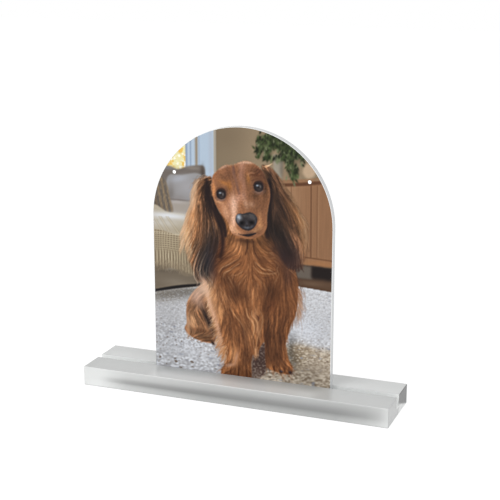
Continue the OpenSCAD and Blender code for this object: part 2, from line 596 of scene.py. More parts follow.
# %% Sofa
lay(fill([(-66, 154), (-52, 155), (-45, 153.5), (-38, 155.5), (-30, 157), (-26, 156.5), (-25, 151),
    (-26, 140), (-66, 130)], 0.5), (118, 110, 104))
brush(None, (-34, 155, 6, 1.4, 0, (146, 138, 130), 0.7), (-27, 153, 1.6, 4, 0, (84, 74, 68), 0.8),
    (-52, 154, 6, 1.5, 0, (140, 140, 142), 0.6))
lay(fill([(-52.6, 147), (-42, 149.6), (-30.6, 151.6), (-26, 146), (-25, 122), (-52, 122)], 0.5), SOFA)
brush(None, (-44, 147, 7, 2.4, 14, (178, 182, 192), 0.7), (-50, 136, 2.6, 7, 0, (124, 118, 114), 0.8),
    (-38, 142, 8, 6, 0, (172, 170, 174), 0.6), (-44, 134, 5, 2, 0, (144, 138, 136), 0.6))
straight([(-52, 131.6), (-24, 132.4), (-24, 120), (-52, 120)], 0.5, (166, 158, 150))
brush(None, (-46, 131, 6, 1.2, 0, (182, 176, 174), 0.6), (-44, 132.6, 10, 0.6, 0, (122, 112, 106), 0.6))
cushion = fill([(-66, 150), (-58, 148), (-53.6, 144), (-51, 134), (-49.6, 122), (-66, 122)], 0.5)
lay(cushion, (134, 118, 98))
stripes = np.cos((X + 0.2 * (Z - 123)) * 2 * math.pi / 3.6 + 0.6) * 0.5 + 0.5
lay(cushion * stripes, (98, 93, 90), 0.75)
lay(cushion * speckle(0.8, 2.4, 24).clip(0, 1), (172, 152, 122), 0.3)
brush(cushion, (-62, 128, 3, 8, 0, (84, 74, 66), 0.5), (-53, 144, 2, 3, 0, (128, 118, 106), 0.5))
lay(fill([(-66, 123.6), (-52, 123.4), (-36, 122.8), (-30, 118), (-28, 90), (-30, 60), (-66, 60)], 0.35),
    (180, 170, 152))
brush(None, (-52, 121, 18, 2.6, 0, (220, 222, 226), 0.95), (-56, 116, 14, 3, 0, (200, 196, 188), 0.8),
    (-40, 112, 8, 4, 0, (170, 158, 136), 0.6))
print("sofa painted")

# %% [markdown]
# The knitted throw follows rules well. The net takes the larger of two
# cosines at each place, and the wavy fringe below it is one more. Its loose
# threads are pen strokes and hairs.

# %% Throw
knit = fill([(-66, 109.6), (-44, 108), (-36, 111), (-28, 96), (-30, 84), (-40, 80), (-50, 85), (-58, 82.5),
    (-66, 84)], 0.4)
lay(knit, THROW)
pen([(-64, 109), (-54, 108.6), (-45, 108.4)], 1.0, 0.4, 0, THROW_LIT, 0.7)
rib = np.cos((X + noise(9, 9, 12, 1) * 0.5) * 2 * math.pi / 1.9) * 0.5 + 0.5
row = np.cos((Z + noise(9, 9, 13, 1) * 0.5) * 2 * math.pi / 1.5) * 0.5 + 0.5
wavy = np.cos((X + noise(5, 7, 14, 1) * 0.9) * 2 * math.pi / 2.1) * 0.5 + 0.5
high = 1 / (1 + np.exp(97 - Z))
lay(knit * high * (1 - np.maximum(rib, row)), (112, 98, 78), 0.85)
lay(knit * high * (row > 0.6), THROW_LIT, 0.2)
lay(knit * (1 - high) * (1 - wavy) ** 1.5, THROW_SHADE, 0.9)
lay(knit * (1 - high) * (wavy > 0.8), THROW_LIT, 0.35)
brush(knit, (-40, 96, 9, 12, 0, (150, 136, 112), 0.5), (-62, 100, 5, 8, 0, (150, 138, 116), 0.4))
threads = ((-61.6, 117.6, -56.4, 110), (-58.4, 120, -52, 110.6), (-53.2, 120.4, -45, 110.2))
for x0, z0, x1, z1 in threads:
    for shift, colour, strength in ((-0.8, (150, 138, 118), 0.35), (0, THROW_LIT, 0.45),
            (0.8, (150, 138, 118), 0.35)):
        thread = [(x0 + shift, z0), ((x0 + x1) / 2 + shift, (z0 + z1) / 2), (x1 + shift, z1)]
        pen(thread, 0.6, 0.35, 0, colour, strength)
straight([(-66, 84), (-55, 83), (-44, 84.5), (-36, 82), (-28, 80), (-28, 74.6), (-45, 71.6), (-66, 67.4)],
    0.6, BASE)
brush(None, (-60, 84, 12, 2.4, 0, (84, 76, 68), 0.7), (-48, 75, 10, 3, 0, (140, 130, 116), 0.6))
lay(knit * ((92 - Z) / 6).clip(0, 1), (138, 124, 104), 0.45)
hairs(fill([(-64, 91), (-34, 90), (-34, 84), (-64, 85)], 0.6),
    lie([(-60, 90, -92), (-40, 88, -80), (-50, 84, -95)]), 4, 340, (THROW, (148, 134, 112), THROW_SHADE),
    21, wave=0.5, strength=0.5)
print("throw painted")

# %% [markdown]
# First the room's shades are made a little deeper, which the rug in front
# doesn't need. The rug is wool: knots of light and dark that get larger
# towards the viewer, grey on the left and sandy on the right.

# %% Rug
canvas[:] = 255 * (canvas / 255) ** 1.1
straight([(-66, 67.6), (-48, 71.2), (-30, 74.6), (-30, 60), (-66, 60)], 0.4, (150, 141, 128))
rug_shape = fill([(-66, 66.8), (-30, 73.6), (-30, 60), (34, 60), (34, 81.6), (66, 79.4), (66, 0), (-66, 0)],
    0.3, False)
lay(rug_shape, RUG)
lay(rug_shape * ((Z - 13) / 60).clip(0, 1), (190, 189, 190), 0.6)
brush(rug_shape, (-56, 66, 16, 5, 12, (144, 136, 124), 0.9), (-38, 70, 10, 4, 12, (144, 136, 124), 0.8),
    (54, 70, 16, 14, 0, (206, 208, 212), 0.7), (46, 52, 14, 9, 0, (220, 224, 232), 0.8),
    (-38, 30, 20, 10, 0, (204, 207, 214), 0.6))
sand = rug_shape * fill([(8, 39), (26, 37), (40, 41), (54, 39), (66, 36), (66, -6), (4, -6)], 2.0)
lay(sand, RUG_SAND, 0.85)
brush(rug_shape, (52, 22, 14, 12, 0, (164, 148, 130), 0.5), (46, 38.5, 10, 2.4, 0, (158, 138, 112), 0.7),
    (40, 33, 7, 9, 0, (134, 118, 96), 0.8), (18, 30, 6, 14, 0, (92, 82, 78), 0.8),
    (18, 15, 14, 3, 0, (190, 178, 164), 0.7), (-20, 30, 8, 4, 0, (176, 172, 172), 0.5))
bands = ((31, 0.9, 44, 92, 0.4), (32, 1.3, 20, 54, 0.65), (33, 1.8, -20, 30, 0.8))
for seed, size, low, high, depth in bands:
    band = rug_shape * ((Z - low) / 10).clip(0, 1) * ((high - Z) / 10).clip(0, 1)
    small = speckle(size * 1.2, size * 0.8, seed)
    knots = 0.8 * small + 0.6 * speckle(size * 3, size * 1.6, seed + 30)
    sandy = np.minimum(band, sand)
    for part, lit, dark in ((band - sandy, RUG_LIT, RUG_GREY), (sandy, (216, 203, 184), RUG_EARTH)):
        lay(part * knots.clip(0, 1), lit, depth)
        lay(part * (-knots).clip(0, 1), dark, depth * 0.8)
    lay(band * (speckle(size * 1.6, size, seed + 10) - 0.95).clip(0, 0.7), (104, 88, 74), depth * 1.2)
    lay(band * (speckle(size * 3, size * 1.4, seed + 20) - 0.8).clip(0, 1), (142, 146, 158), depth)
relight(rug_shape, (-60, 65, 16, 4, 12, 0.82), (-40, 69, 12, 5, 14, 0.8), (35.6, 37, 2.2, 9, 0, 0.68),
    (38, 30, 3, 6, 0, 0.8), (38, 45, 3, 4, 0, 0.85), (-54, 42, 14, 24, 0, 0.91), (48, 20, 14, 10, 0, 0.87),
    (54, 56, 14, 12, 0, 0.95))
pen([(-66, 67), (-46, 71.9), (-30, 75)], 2.2, 0.5, 0.3, BLACK, 0.95)
print("rug painted")

# %% [markdown]
# The dog's coat runs from gold through chestnut to soot. Each part of the
# animal is made alike: a silhouette, dabs of light and shade, then combed
# locks. Tufts put hairs on a patch, and a fringe lets them cross an edge.

# %% Coat colours and tools
GOLD, AMBER, BRONZE = (204, 142, 88), (178, 112, 60), (150, 96, 60)
CHESTNUT, UMBER, SOOT, SLATE = (116, 68, 38), (78, 48, 34), (38, 33, 34), (62, 62, 72)
ROSE, CREAM, PEACH = (188, 138, 112), (224, 184, 146), (222, 176, 146)


def comb_twice(mask, flow, seed, locks, strands):
    """Combs broad locks into the paint, then fine strands."""
    comb(mask, flow, 5, locks, seed, 0.5)
    comb(mask, flow, 3, strands, seed + 1, 0.25)


def coat(outline, colour, flow, seed, dabs, locks, strands, soft=0.35):
    """Paints one part of the animal: a silhouette, dabs of light and shade, then combed locks."""
    shape = fill(outline, soft)
    lay(shape, colour)
    brush(shape, *dabs)
    comb_twice(shape, flow, seed, locks, strands)
    return shape


def tufts(flow, length, seed, *groups, **more):
    """Hairs from soft oval patches of (x, z, wide, high, tilt, count, colours)."""
    for k, (x, z, wide, high, tilt, count, colours) in enumerate(groups):
        hairs(dab(x, z, wide, high, tilt), flow, length, count, colours, seed + k, **more)


def fringe(points, flow, length, count, colours, seed, width=1.5, **more):
    """Hairs that start along a line and cross the edge of a shape."""
    path = curve(points)
    roots = np.zeros((ROWS, COLS))
    for x, z in path:
        roots = np.maximum(roots, dab(x, z, width, width))
    hairs(roots, flow, length, count, colours, seed, **more)


print("coat tools:", coat.__name__, tufts.__name__, fringe.__name__)

# %% [markdown]
# These hints of (x, z, degrees) say how the hair lies on the chest, the front
# legs and the hip. The chest hair parts in the middle and sweeps outwards.

# %% Lie of the body's hair
CHEST_LIE = lie([(0, 107, -92), (-6, 105, -112), (-12, 102, 215), (-17, 99, 222), (-18, 92, 215),
    (-6, 97, 212), (-3, 91, 205), (-10, 88, 208), (-15, 84, 255), (-9, 81, -62), (-7, 76, -62),
    (-15, 77, -80), (5, 102, -92), (4, 94, -100), (1, 85, 234), (-2, 80, 232), (6, 86, -90), (12, 84, -48),
    (17, 78, -80), (18, 73, -100), (12, 98, -55), (17, 104, -28), (22, 99, -22), (15, 94, -38),
    (20, 91, -22), (25, 88, -75), (25, 82, -105), (32, 87, -98), (37, 91, -35), (24, 74, -108),
    (30, 72, -86), (36, 71, -64), (39, 80, -75), (8, 74, -90), (4, 71, -96), (12, 71, -84), (8, 66, -92),
    (-22, 74, 238), (-20, 66, 248), (-14, 69, -78), (-6, 67, -60), (0, 65, -72), (16, 66, -96),
    (22, 64, -104), (30, 62, -98), (38, 62, -96)], 5)
LEG_LIE = lie([(-17, 56, -84), (-20, 60, 240), (-10, 58, -68), (-4, 56, -56), (1, 51, -58), (4, 46, -62),
    (-18, 48, 244), (-9.5, 48, 250), (-13, 44, -96), (-5, 44, -80), (-15, 40, 232), (-15, 33, 250),
    (-11, 28, 246), (6, 60, -84), (9, 56, -62), (13, 54, -100), (14, 47, -96), (9, 44, -70), (12, 38, -104),
    (8, 37, -72), (10.5, 31, -91), (-4, 36, -88), (-1, 28, -90), (4, 26, -94), (-6, 24, -100),
    (-10, 18, 200), (-3, 17, -100), (3, 17, -80), (7, 17, -60), (20, 56, -98), (18, 48, -94),
    (26, 54, -100), (33, 56, -112), (24, 44, -94), (30, 42, -84), (22, 34, -92), (29, 34, -76),
    (22, 27, -80), (28, 26, -60), (34, 26, -40), (38, 62, -84)], 5)
HIP_LIE = lie([(-32, 68, 225), (-34, 58, 236), (-30, 52, -62), (-35, 46, -70), (-30, 56, -58),
    (-28, 46, -62), (-30, 38, 195), (-24, 36, 188), (-23, 52, -72), (-27, 72, 215)], 5)
print("body hints cover", CHEST_LIE[0].shape)

# %% [markdown]
# The long hair of the ears hangs down and curls at the tips. The short hair
# of the face runs up from the nose and out to the cheeks.

# %% Lie of the head's hair
EAR_L_LIE = lie([(-23, 148, 196), (-28, 146, 222), (-31, 141, 240), (-33, 135, 258), (-37, 124, 244),
    (-41, 113, 240), (-38, 106, 240), (-41, 98, 250), (-31, 122, 266), (-33, 112, 258), (-29, 100, 246),
    (-36, 92, 244), (-25, 132, 275), (-22, 142, 262), (-27, 110, 266), (-20, 122, -68), (-17, 114, -84),
    (-17, 106, -96), (-22, 102, 254), (-28, 90, 238), (-33, 85, 262), (-31, 80, -72), (-27, 84, 262),
    (-25, 79, -66), (-22, 88, 258), (-23, 82, -76)], 5)
EAR_R_LIE = lie([(16, 158, -50), (22, 152, -52), (27, 150, -56), (31, 143, -52), (37, 136, -54),
    (42, 127, -64), (45, 118, -82), (45, 108, -94), (23, 142, -80), (22, 130, -92), (23, 120, -84),
    (27, 112, -62), (33, 108, -56), (38, 100, -84), (30, 128, -64), (34, 122, -62), (40, 114, -66),
    (43, 104, -88), (20, 148, -72), (29, 134, -62), (36, 96, -96), (42, 97, -92)], 5)
FACE_LIE = lie([(3, 134, 94), (0, 146, 98), (-4, 156, 112), (-12, 153, 140), (-17, 146, 125),
    (-10, 147, 110), (6, 152, 80), (13, 156, 45), (18, 150, -60), (8, 145, 80), (-15, 131, 118),
    (-11, 124, 125), (-8, 119, 115), (-5, 114, 150), (2, 112, 180), (10, 115, 20), (15, 120, 50),
    (17, 128, 78), (18, 138, 92), (10, 132, 70), (-5, 130, 112)], 4)
print("head hints cover", FACE_LIE[0].shape)

# %% [markdown]
# The hind leg lies behind the body, so it comes first. A copy of the empty
# room is kept, because it later tells where the dog is.

# %% Hind leg
before = canvas.copy()
shape = coat([(-24, 78), (-31, 73), (-36, 67.5), (-39, 62), (-40, 54), (-39.6, 47), (-41.4, 43),
    (-38, 38.4), (-31, 35.4), (-24, 34.4), (-19, 36), (-17, 50), (-18, 70)], (160, 112, 78), HIP_LIE, 41,
    ((-33, 66, 5, 6, 0, (178, 142, 122), 0.9), (-28, 73, 4, 4, 0, (190, 158, 138), 0.7),
    (-35.4, 49, 3.2, 5, 10, (202, 154, 114), 0.85), (-25.6, 53, 1.6, 8, 24, (92, 68, 62), 0.9),
    (-21.5, 49, 2.4, 9, 10, (70, 56, 56), 0.9), (-29, 42.6, 6, 1.6, -8, (112, 70, 44), 0.8),
    (-24, 37.4, 4, 1.6, 0, (88, 58, 38), 0.7)), 0.08, 0.07)
hairs(shape * (Z < 64), HIP_LIE, 4, 500, (GOLD, CREAM, CHESTNUT), 43, blend=0.35)
brush(None, (-20.4, 34.6, 1.4, 0.8, -30, SOOT, 0.95))
print("hind leg painted")

# %% [markdown]
# The body is one large silhouette with the darkest folds under the ears and
# between the legs.

# %% Body
body_shape = coat([(-18, 124), (-20, 104), (-23, 92), (-26, 78), (-25, 74), (-23.6, 68), (-21.5, 60),
    (-20, 52), (-18.6, 46), (-16.6, 40), (-14, 34), (-11, 27), (-12.2, 20.5), (-14.6, 15.5), (-12, 12),
    (6, 11), (8, 14), (7.6, 24), (9, 30), (11.4, 29.5), (13.4, 34), (17, 40), (17, 28), (17.4, 23.4),
    (22, 20.8), (30, 19.2), (36, 20), (37, 24.4), (34.4, 29.5), (32.4, 36), (32, 42), (34, 48), (36, 55),
    (38.8, 61), (40, 69), (40.4, 80), (38, 92), (30, 104), (22, 122), (0, 124)], (156, 104, 64), CHEST_LIE,
    51, ((-1, 105, 4, 6, 0, (184, 126, 82), 0.9), (-14, 103, 3, 7, 0, (116, 72, 48), 0.85),
    (-19, 100, 3, 14, 0, (52, 36, 32), 0.9), (-16.5, 117, 4, 6, 0, (40, 28, 27), 0.98),
    (20, 116, 4, 7, 0, (48, 34, 31), 0.98), (24, 106, 3, 4, 0, (70, 48, 40), 0.8),
    (-20, 84, 3, 6, 0, (92, 62, 50), 0.7), (33, 87, 4, 8, 0, (92, 66, 52), 0.85),
    (8, 72, 4.4, 4.4, 0, (182, 126, 82), 0.85), (22, 68, 3.6, 7, 0, (130, 80, 48), 0.7),
    (-22, 76, 3, 4, 0, (192, 158, 128), 0.7), (-22.4, 69, 2.4, 5, 0, (222, 178, 138), 0.85),
    (-17, 69, 4, 5, 0, (196, 146, 102), 0.8), (-12, 67, 4, 4, 0, (182, 128, 84), 0.7)), 0.07, 0.06)
print("body painted")

# %% [markdown]
# The chest has the liveliest hair. Pen strokes set the big curls, and loose
# hairs soften them.

# %% Chest
strokes(0.35, 0.7, (((4.7, 109), (4.6, 104), (3, 99)), 1.0, (88, 54, 36), 0.75),
    (((8.9, 109), (9.4, 104), (11.4, 99), (15, 95.6)), 0.8, (94, 58, 38), 0.7),
    (((-2, 96), (-8, 91.6), (-13, 89), (-15.8, 85)), 0.9, (206, 160, 118), 0.65),
    (((-4, 94), (-10, 89.6), (-13.6, 86.6), (-14.6, 82.6)), 0.6, (92, 60, 42), 0.6),
    (((-1, 93), (-7, 88), (-11.8, 85), (-13, 81)), 0.7, (214, 172, 130), 0.6),
    (((-10, 98), (-14, 95.6), (-18, 94)), 0.7, (196, 148, 104), 0.5),
    (((-9, 96.4), (-14, 93.4), (-19, 91.6)), 0.5, (86, 56, 40), 0.55),
    (((2, 88), (-3, 84.6), (-6.6, 84), (-9, 81.6)), 0.7, (204, 154, 108), 0.6),
    (((-9.4, 83.4), (-6.6, 79), (-4.4, 75.4), (-4, 72)), 0.8, (206, 160, 114), 0.65),
    (((-7.6, 83), (-4.6, 79), (-3, 75)), 0.5, (84, 54, 38), 0.6),
    (((-11.6, 82), (-8.6, 77.6), (-7, 73)), 0.6, (190, 146, 106), 0.5),
    (((10, 95), (15, 91), (20.4, 90.4), (25, 88)), 0.9, (214, 166, 120), 0.7),
    (((9, 92), (13, 88.4), (18.4, 87.6), (24.6, 88.6), (26.2, 91)), 0.8, (208, 160, 114), 0.65),
    (((8, 89.6), (12, 85.6), (17, 84.8), (23, 86.4)), 0.6, (98, 62, 42), 0.5),
    (((11, 93), (16, 89.6), (21.4, 89.2), (25, 90.4), (25.6, 93.6)), 0.5, (106, 68, 46), 0.55),
    (((24, 97), (26.4, 94), (25.4, 91), (27, 88.4), (25, 84), (22.8, 79.4), (21.4, 75)), 0.7,
    (200, 150, 106), 0.6), (((14, 103), (19, 102), (23, 102.6)), 0.6, (198, 148, 100), 0.5),
    (((14, 100), (20, 98.4), (24.6, 99.4)), 0.6, (196, 146, 98), 0.5),
    (((13, 98), (19, 95.6), (24, 96.2)), 0.5, (110, 70, 44), 0.5),
    (((9, 86), (14, 82), (17.4, 78), (17, 73)), 0.7, (196, 146, 100), 0.55),
    (((12, 85), (17, 81.6), (19.6, 77), (18.6, 72)), 0.6, (96, 62, 42), 0.5),
    (((5, 86), (1, 82), (-1.4, 78), (-1.6, 74)), 0.6, (196, 146, 102), 0.5),
    (((32, 93), (36, 90.6), (39, 88)), 0.7, (186, 138, 96), 0.5),
    (((3.4, 75), (3.2, 70.6), (6, 67.8)), 0.6, (110, 70, 44), 0.5),
    (((12.8, 76), (13, 71.4), (11, 68)), 0.6, (108, 68, 44), 0.55))
hairs(fill([(-16, 106), (16, 108), (25, 100), (26, 88), (18, 72), (-4, 70), (-18, 82)], 2), CHEST_LIE, 6,
    900, (CREAM, GOLD, BRONZE, CHESTNUT, UMBER), 61, blend=0.3, tone=0.2, strength=0.6)
hairs(fill([(20, 84), (40, 86), (42, 64), (36, 56), (20, 60)], 2), CHEST_LIE, 7, 500,
    (GOLD, AMBER, CHESTNUT, UMBER), 62, blend=0.3, tone=0.2, strength=0.6)
hairs(fill([(-24, 78), (-14, 78), (-4, 70), (-8, 60), (-20, 60)], 1.5), CHEST_LIE, 7, 420,
    (CREAM, GOLD, BRONZE, UMBER), 63, blend=0.4, tone=0.2, strength=0.6)
print("chest painted")

# %% [markdown]
# The legs share the body's silhouette, so a few dabs, combed streaks, hairs
# and strokes are all they need.

# %% Front legs
lower = body_shape * ((66 - Z) / 6).clip(0, 1)
brush(lower, (-16, 57, 4, 8, 0, (200, 146, 98), 0.85), (10, 52, 5, 8, 0, (182, 128, 84), 0.8),
    (18.6, 38, 1.6, 10, 0, (96, 62, 42), 0.8), (-5.4, 29, 2.4, 6, 0, (196, 144, 98), 0.75),
    (-2, 14.4, 6, 1, 0, (122, 80, 50), 0.7))
comb_twice(lower, LEG_LIE, 71, 0.09, 0.06)
hairs(lower, LEG_LIE, 6, 1200, (CREAM, GOLD, BRONZE, CHESTNUT), 73, blend=0.3, tone=0.2, strength=0.6)
strokes(0.35, 0.7, (((-8, 62), (-4, 56), (1, 50), (3, 44)), 0.8, (212, 160, 112), 0.6),
    (((-5, 61), (0, 54), (4, 48), (5, 42)), 0.6, (114, 74, 48), 0.55),
    (((4, 62), (5, 57), (9, 52), (9.6, 47), (8, 42)), 0.9, (218, 170, 122), 0.7),
    (((8, 61), (8, 57.6), (11, 54.6), (12, 51), (11.4, 46)), 0.8, (222, 174, 126), 0.7),
    (((13.4, 62), (15.6, 57), (15, 51), (13.6, 46), (14, 40)), 0.8, (212, 162, 114), 0.65),
    (((10.6, 58.6), (12.6, 56.6), (12.6, 54.4)), 1.2, (88, 56, 42), 0.8),
    (((6, 58), (7.4, 52), (7, 47), (9, 41)), 0.5, (112, 74, 48), 0.55),
    (((12, 50), (12.6, 45), (11.6, 40), (11.2, 34)), 0.6, (220, 170, 122), 0.6),
    (((9.6, 44), (9.2, 38), (10.4, 32)), 0.6, (212, 160, 112), 0.6),
    (((13.4, 44), (13, 38), (11.6, 33)), 0.5, (112, 72, 46), 0.5),
    (((7, 44), (7.4, 38), (9.4, 34)), 0.5, (112, 72, 46), 0.5),
    (((-1, 52), (1.4, 46), (2.4, 41)), 0.9, (100, 66, 46), 0.5))
print("front legs painted")

# %% [markdown]
# The gap between the legs shows the rug in shade. Feathers of pale hair hang
# off their outer edges, and the toes are short dark lines with dark claws.

# %% Gap, feathers and toes
gap = fill([(9, 29), (12, 31.5), (16.5, 39), (17.6, 27), (18, 22), (16, 16.5), (9, 12), (8.2, 22)], 0.5)
lay(gap, (80, 72, 72), 0.95)
brush(gap, (13, 27, 3, 5, 0, (60, 55, 56), 0.9), (12, 18, 5, 3, 0, (122, 112, 106), 0.8),
    (12, 13, 5, 3, 0, (184, 170, 154), 0.8))
wool = gap * speckle(1.6, 1.1, 97)
lay(wool.clip(0, 1), (206, 192, 172), 0.35)
lay((-wool).clip(0, 1), (84, 72, 64), 0.35)
fringe([(-24.6, 78), (-23, 70), (-21, 60), (-19, 50)],
    lie([(-24, 76, 232), (-21, 60, 236), (-19, 50, 232)]), 5, 260, (CREAM, (236, 206, 172), GOLD), 91,
    blend=0.8, spread=0.2)
fringe([(-18, 48), (-15, 40), (-12, 32)], lie([(-18, 46, 214), (-14, 38, 222), (-12, 30, 236)]), 7, 220,
    (CREAM, GOLD, (232, 196, 156)), 92, 1.6, blend=0.8, spread=0.25)
fringe([(-12, 33), (-11, 27)], lie([(-12, 32, 242), (-10, 24, 250)]), 7, 90, (CREAM, GOLD), 93, 1.4,
    blend=0.8, spread=0.2)
fringe([(40.6, 80), (41, 70), (40.4, 63)], lie([(40, 80, -64), (41, 70, -66), (40, 60, -80)]), 6, 140,
    (GOLD, AMBER, BRONZE), 94, 0.8, blend=0.5, spread=0.2)
fringe([(11, 36), (11, 31)], lie([(10.8, 34, -91)]), 4.5, 70, (GOLD, CREAM), 95, 1.2, blend=0.7)
fringe([(33, 47), (32, 38), (33, 30)], lie([(33, 44, -80), (33, 30, -66)]), 3, 60, (GOLD, AMBER), 96, 0.7,
    blend=0.5)
creases = (((-7, 19), (-7.6, 16), (-7, 13.6)), ((-1.4, 19), (-1.8, 16), (-1.4, 13.4)),
    ((4, 18.6), (4.2, 16), (4.4, 13.6)), ((24.4, 24.4), (24, 22.4), (24.2, 20.6)),
    ((31, 24), (31.6, 22), (31.2, 20)))
for points in creases:
    pen(points, 0.7, 0.35, 0.5, (84, 52, 34), 0.65)
brush(None, (29, 20.6, 1.5, 1.1, -20, (50, 54, 62), 0.98), (35.4, 20.8, 1.4, 1.2, -20, (50, 54, 62), 0.98),
    (29.2, 21, 0.6, 0.25, -20, (120, 130, 146), 0.7))
print("gap, feathers and toes painted")

# %% [markdown]
# The left ear faces the window: gold outside, nearly black inside, with curls
# at the tip. Both ears get their long hairs from one small function.


# %% Left ear
def ear_hairs(shape, flow, colours, seed):
    """Long hairs all over an ear. Returns how far its tufts may reach beyond it."""
    near = (1.7 * blur(shape, 1.1)).clip(0, 1)
    hairs(shape, flow, 12, 500, colours, seed, within=near, blend=0.2, tone=0.25, wave=0.15, spread=0.05,
        strength=0.6)
    return near


brush(None, (-18.6, 128, 1.4, 6, -12, (40, 28, 26), 0.7), (20.4, 122, 1.6, 9, 0, (40, 30, 29), 0.8),
    (3, 108.8, 9, 1.4, 0, (112, 72, 50), 0.5))
shape = coat([(-20.6, 149.8), (-25.5, 149.4), (-29.5, 146.4), (-32, 142.4), (-33.6, 137), (-34.8, 131),
    (-37, 124.5), (-39.4, 117), (-40.6, 108.5), (-39.6, 101), (-38, 94), (-35.4, 87.5), (-33.4, 82),
    (-31, 78), (-27.4, 77.6), (-24.4, 80), (-21.5, 86), (-19.4, 94), (-17, 101.5), (-14.6, 110),
    (-14.6, 115), (-17, 122), (-18.8, 128.5), (-19.4, 135), (-20, 142)], (150, 104, 72), EAR_L_LIE, 101,
    ((-32, 135, 2.4, 7, 5, (190, 142, 102), 0.9), (-34, 122, 3.4, 8, 14, (204, 138, 88), 0.9),
    (-38.6, 112, 2.4, 7, 8, (214, 180, 136), 0.8), (-38, 102, 2.4, 7, 8, (190, 158, 124), 0.8),
    (-25.4, 142, 2.4, 4, 0, (84, 58, 46), 0.85), (-23, 139.6, 2.4, 6, 0, (40, 28, 27), 0.95),
    (-25, 130, 2, 9, 0, (70, 50, 42), 0.85), (-21.6, 131, 1.6, 8, 0, (44, 32, 30), 0.85),
    (-26, 114, 2.4, 9, 0, (104, 78, 62), 0.8), (-20, 113, 3.4, 7, 0, (70, 56, 50), 0.85),
    (-17, 106, 2.4, 9, 0, (40, 36, 38), 0.95), (-23, 104, 4, 8, 8, (64, 54, 54), 0.9),
    (-20.6, 97, 4, 8, 8, (44, 42, 46), 0.95), (-28.6, 96, 3, 7, 14, (84, 70, 64), 0.85),
    (-27, 88, 4.4, 6, 10, (56, 52, 56), 0.9), (-30, 80.6, 2, 2.4, 0, (66, 58, 58), 0.8)), 0.15, 0.12)
near = ear_hairs(shape, EAR_L_LIE, (BRONZE, UMBER, GOLD), 103)
tufts(EAR_L_LIE, 13, 104, (-33.6, 126, 2.4, 12, 14, 130, (GOLD, CREAM, BRONZE)),
    (-37, 112, 2.4, 9, 10, 160, (CREAM, (228, 204, 170), GOLD)),
    (-37, 98, 2.4, 7, 10, 90, ((200, 180, 150), (176, 154, 124), CREAM)),
    (-22.6, 136, 2, 9, 0, 120, (SOOT, (28, 22, 24))), (-20, 102, 4, 10, 8, 120, (SOOT, SLATE)),
    (-27, 112, 3, 11, 0, 90, ((160, 122, 92), BRONZE, UMBER)),
    (-25, 98, 4, 8, 8, 80, ((128, 108, 96), (100, 88, 84))), blend=0.55, wave=0.2, spread=0.08, within=near)
tufts(EAR_L_LIE, 8, 114, (-30, 86, 3, 3, 0, 60, ((196, 170, 146), (120, 104, 98), SOOT)),
    (-26, 84, 3, 3, 0, 60, ((206, 180, 156), (110, 96, 92), SOOT)),
    (-27, 148, 4, 1.6, 20, 120, ((190, 148, 112), BRONZE)), blend=0.6, wave=0.5, spread=0.12)
strokes(0.35, 0.6, (((-20.4, 128), (-18.4, 120), (-16.2, 114.6)), 0.8, (152, 104, 70), 0.6),
    (((-24, 126), (-21.6, 118), (-20, 110)), 0.7, (140, 98, 68), 0.5))
tones = ((204, 180, 156), (58, 52, 54), (168, 132, 106), (46, 42, 46))
for i, x in enumerate(np.arange(-29.4, -17, 1.15)):
    top, low = 99 - 1.1 * (i % 3), 76.4 + 1.3 * (i % 4) + 0.25 * i
    curl = [(x, top), (x - 3.4, top - 7), (x - 4.8, (top + low) / 2 - 3), (x - 4, low + 3), (x - 2, low)]
    pen(curl, 0.6, 0.35, 0.7, tones[i % 4], 0.6)
print("left ear painted")

# %% [markdown]
# The right ear hangs in the shade, dark down to its tip, with a narrow gold
# edge.

# %% Right ear
shape = coat([(14.5, 159.5), (18, 160.4), (21.5, 158.6), (25.4, 155), (28.4, 150.6), (31.4, 144.6),
    (35, 139.6), (38.6, 135.6), (41.6, 130.6), (44, 125), (45, 118.6), (45, 111), (44.6, 104), (42.8, 97.6),
    (40, 94.6), (36, 94.6), (31.7, 96), (28.3, 100), (25.4, 105), (22.6, 110), (20.2, 115), (18.8, 121.7),
    (19.4, 128), (20, 135), (19.6, 142), (18.4, 148), (16.4, 153)], (120, 84, 60), EAR_R_LIE, 121,
    ((20.4, 146, 1.3, 10, 0, (34, 28, 31), 0.95), (26, 138, 3, 7, 16, (72, 54, 48), 0.9),
    (20.2, 132, 1, 9, 0, (30, 24, 26), 0.95), (27, 128, 3, 8, 10, (76, 56, 46), 0.85),
    (39.6, 130, 2.2, 7, 34, (168, 126, 86), 0.9), (43, 119, 2, 9, 8, (194, 152, 110), 0.8),
    (24, 118, 3, 8, 0, (54, 42, 40), 0.95), (30, 112, 4, 9, 30, (52, 44, 44), 0.95),
    (38, 101, 4.4, 6, 10, (54, 48, 51), 0.95), (32, 103, 3.4, 5, 30, (46, 40, 42), 0.9),
    (20.4, 121, 1.4, 6, 0, (34, 27, 28), 0.9)), 0.15, 0.11)
near = ear_hairs(shape, EAR_R_LIE, (BRONZE, UMBER, SOOT), 123)
tufts(EAR_R_LIE, 14, 124, (35, 134, 2, 9, 35, 90, (GOLD, BRONZE)),
    (40, 128, 2, 8, 30, 120, (GOLD, OAK_LIT, BRONZE)), (43, 114, 2, 9, 5, 120, (OAK_LIT, GOLD, OAK)),
    (28, 116, 5, 11, 25, 160, (SOOT, SLATE, (84, 70, 64))), (20.4, 138, 1, 12, 0, 70, (SOOT, (28, 22, 24))),
    (27, 134, 3, 9, 22, 120, (BRONZE, SOOT, UMBER, (96, 72, 54))),
    (36, 102, 5, 5, 10, 140, ((112, 100, 96), SOOT, SLATE)), blend=0.5, wave=0.2, spread=0.07, within=near)
fringe([(26, 153), (31, 146), (38, 136), (43.6, 125), (45, 112)], EAR_R_LIE, 9, 150,
    ((184, 138, 96), OAK_LIT, OAK), 133, 0.9, blend=0.8, spread=0.12)
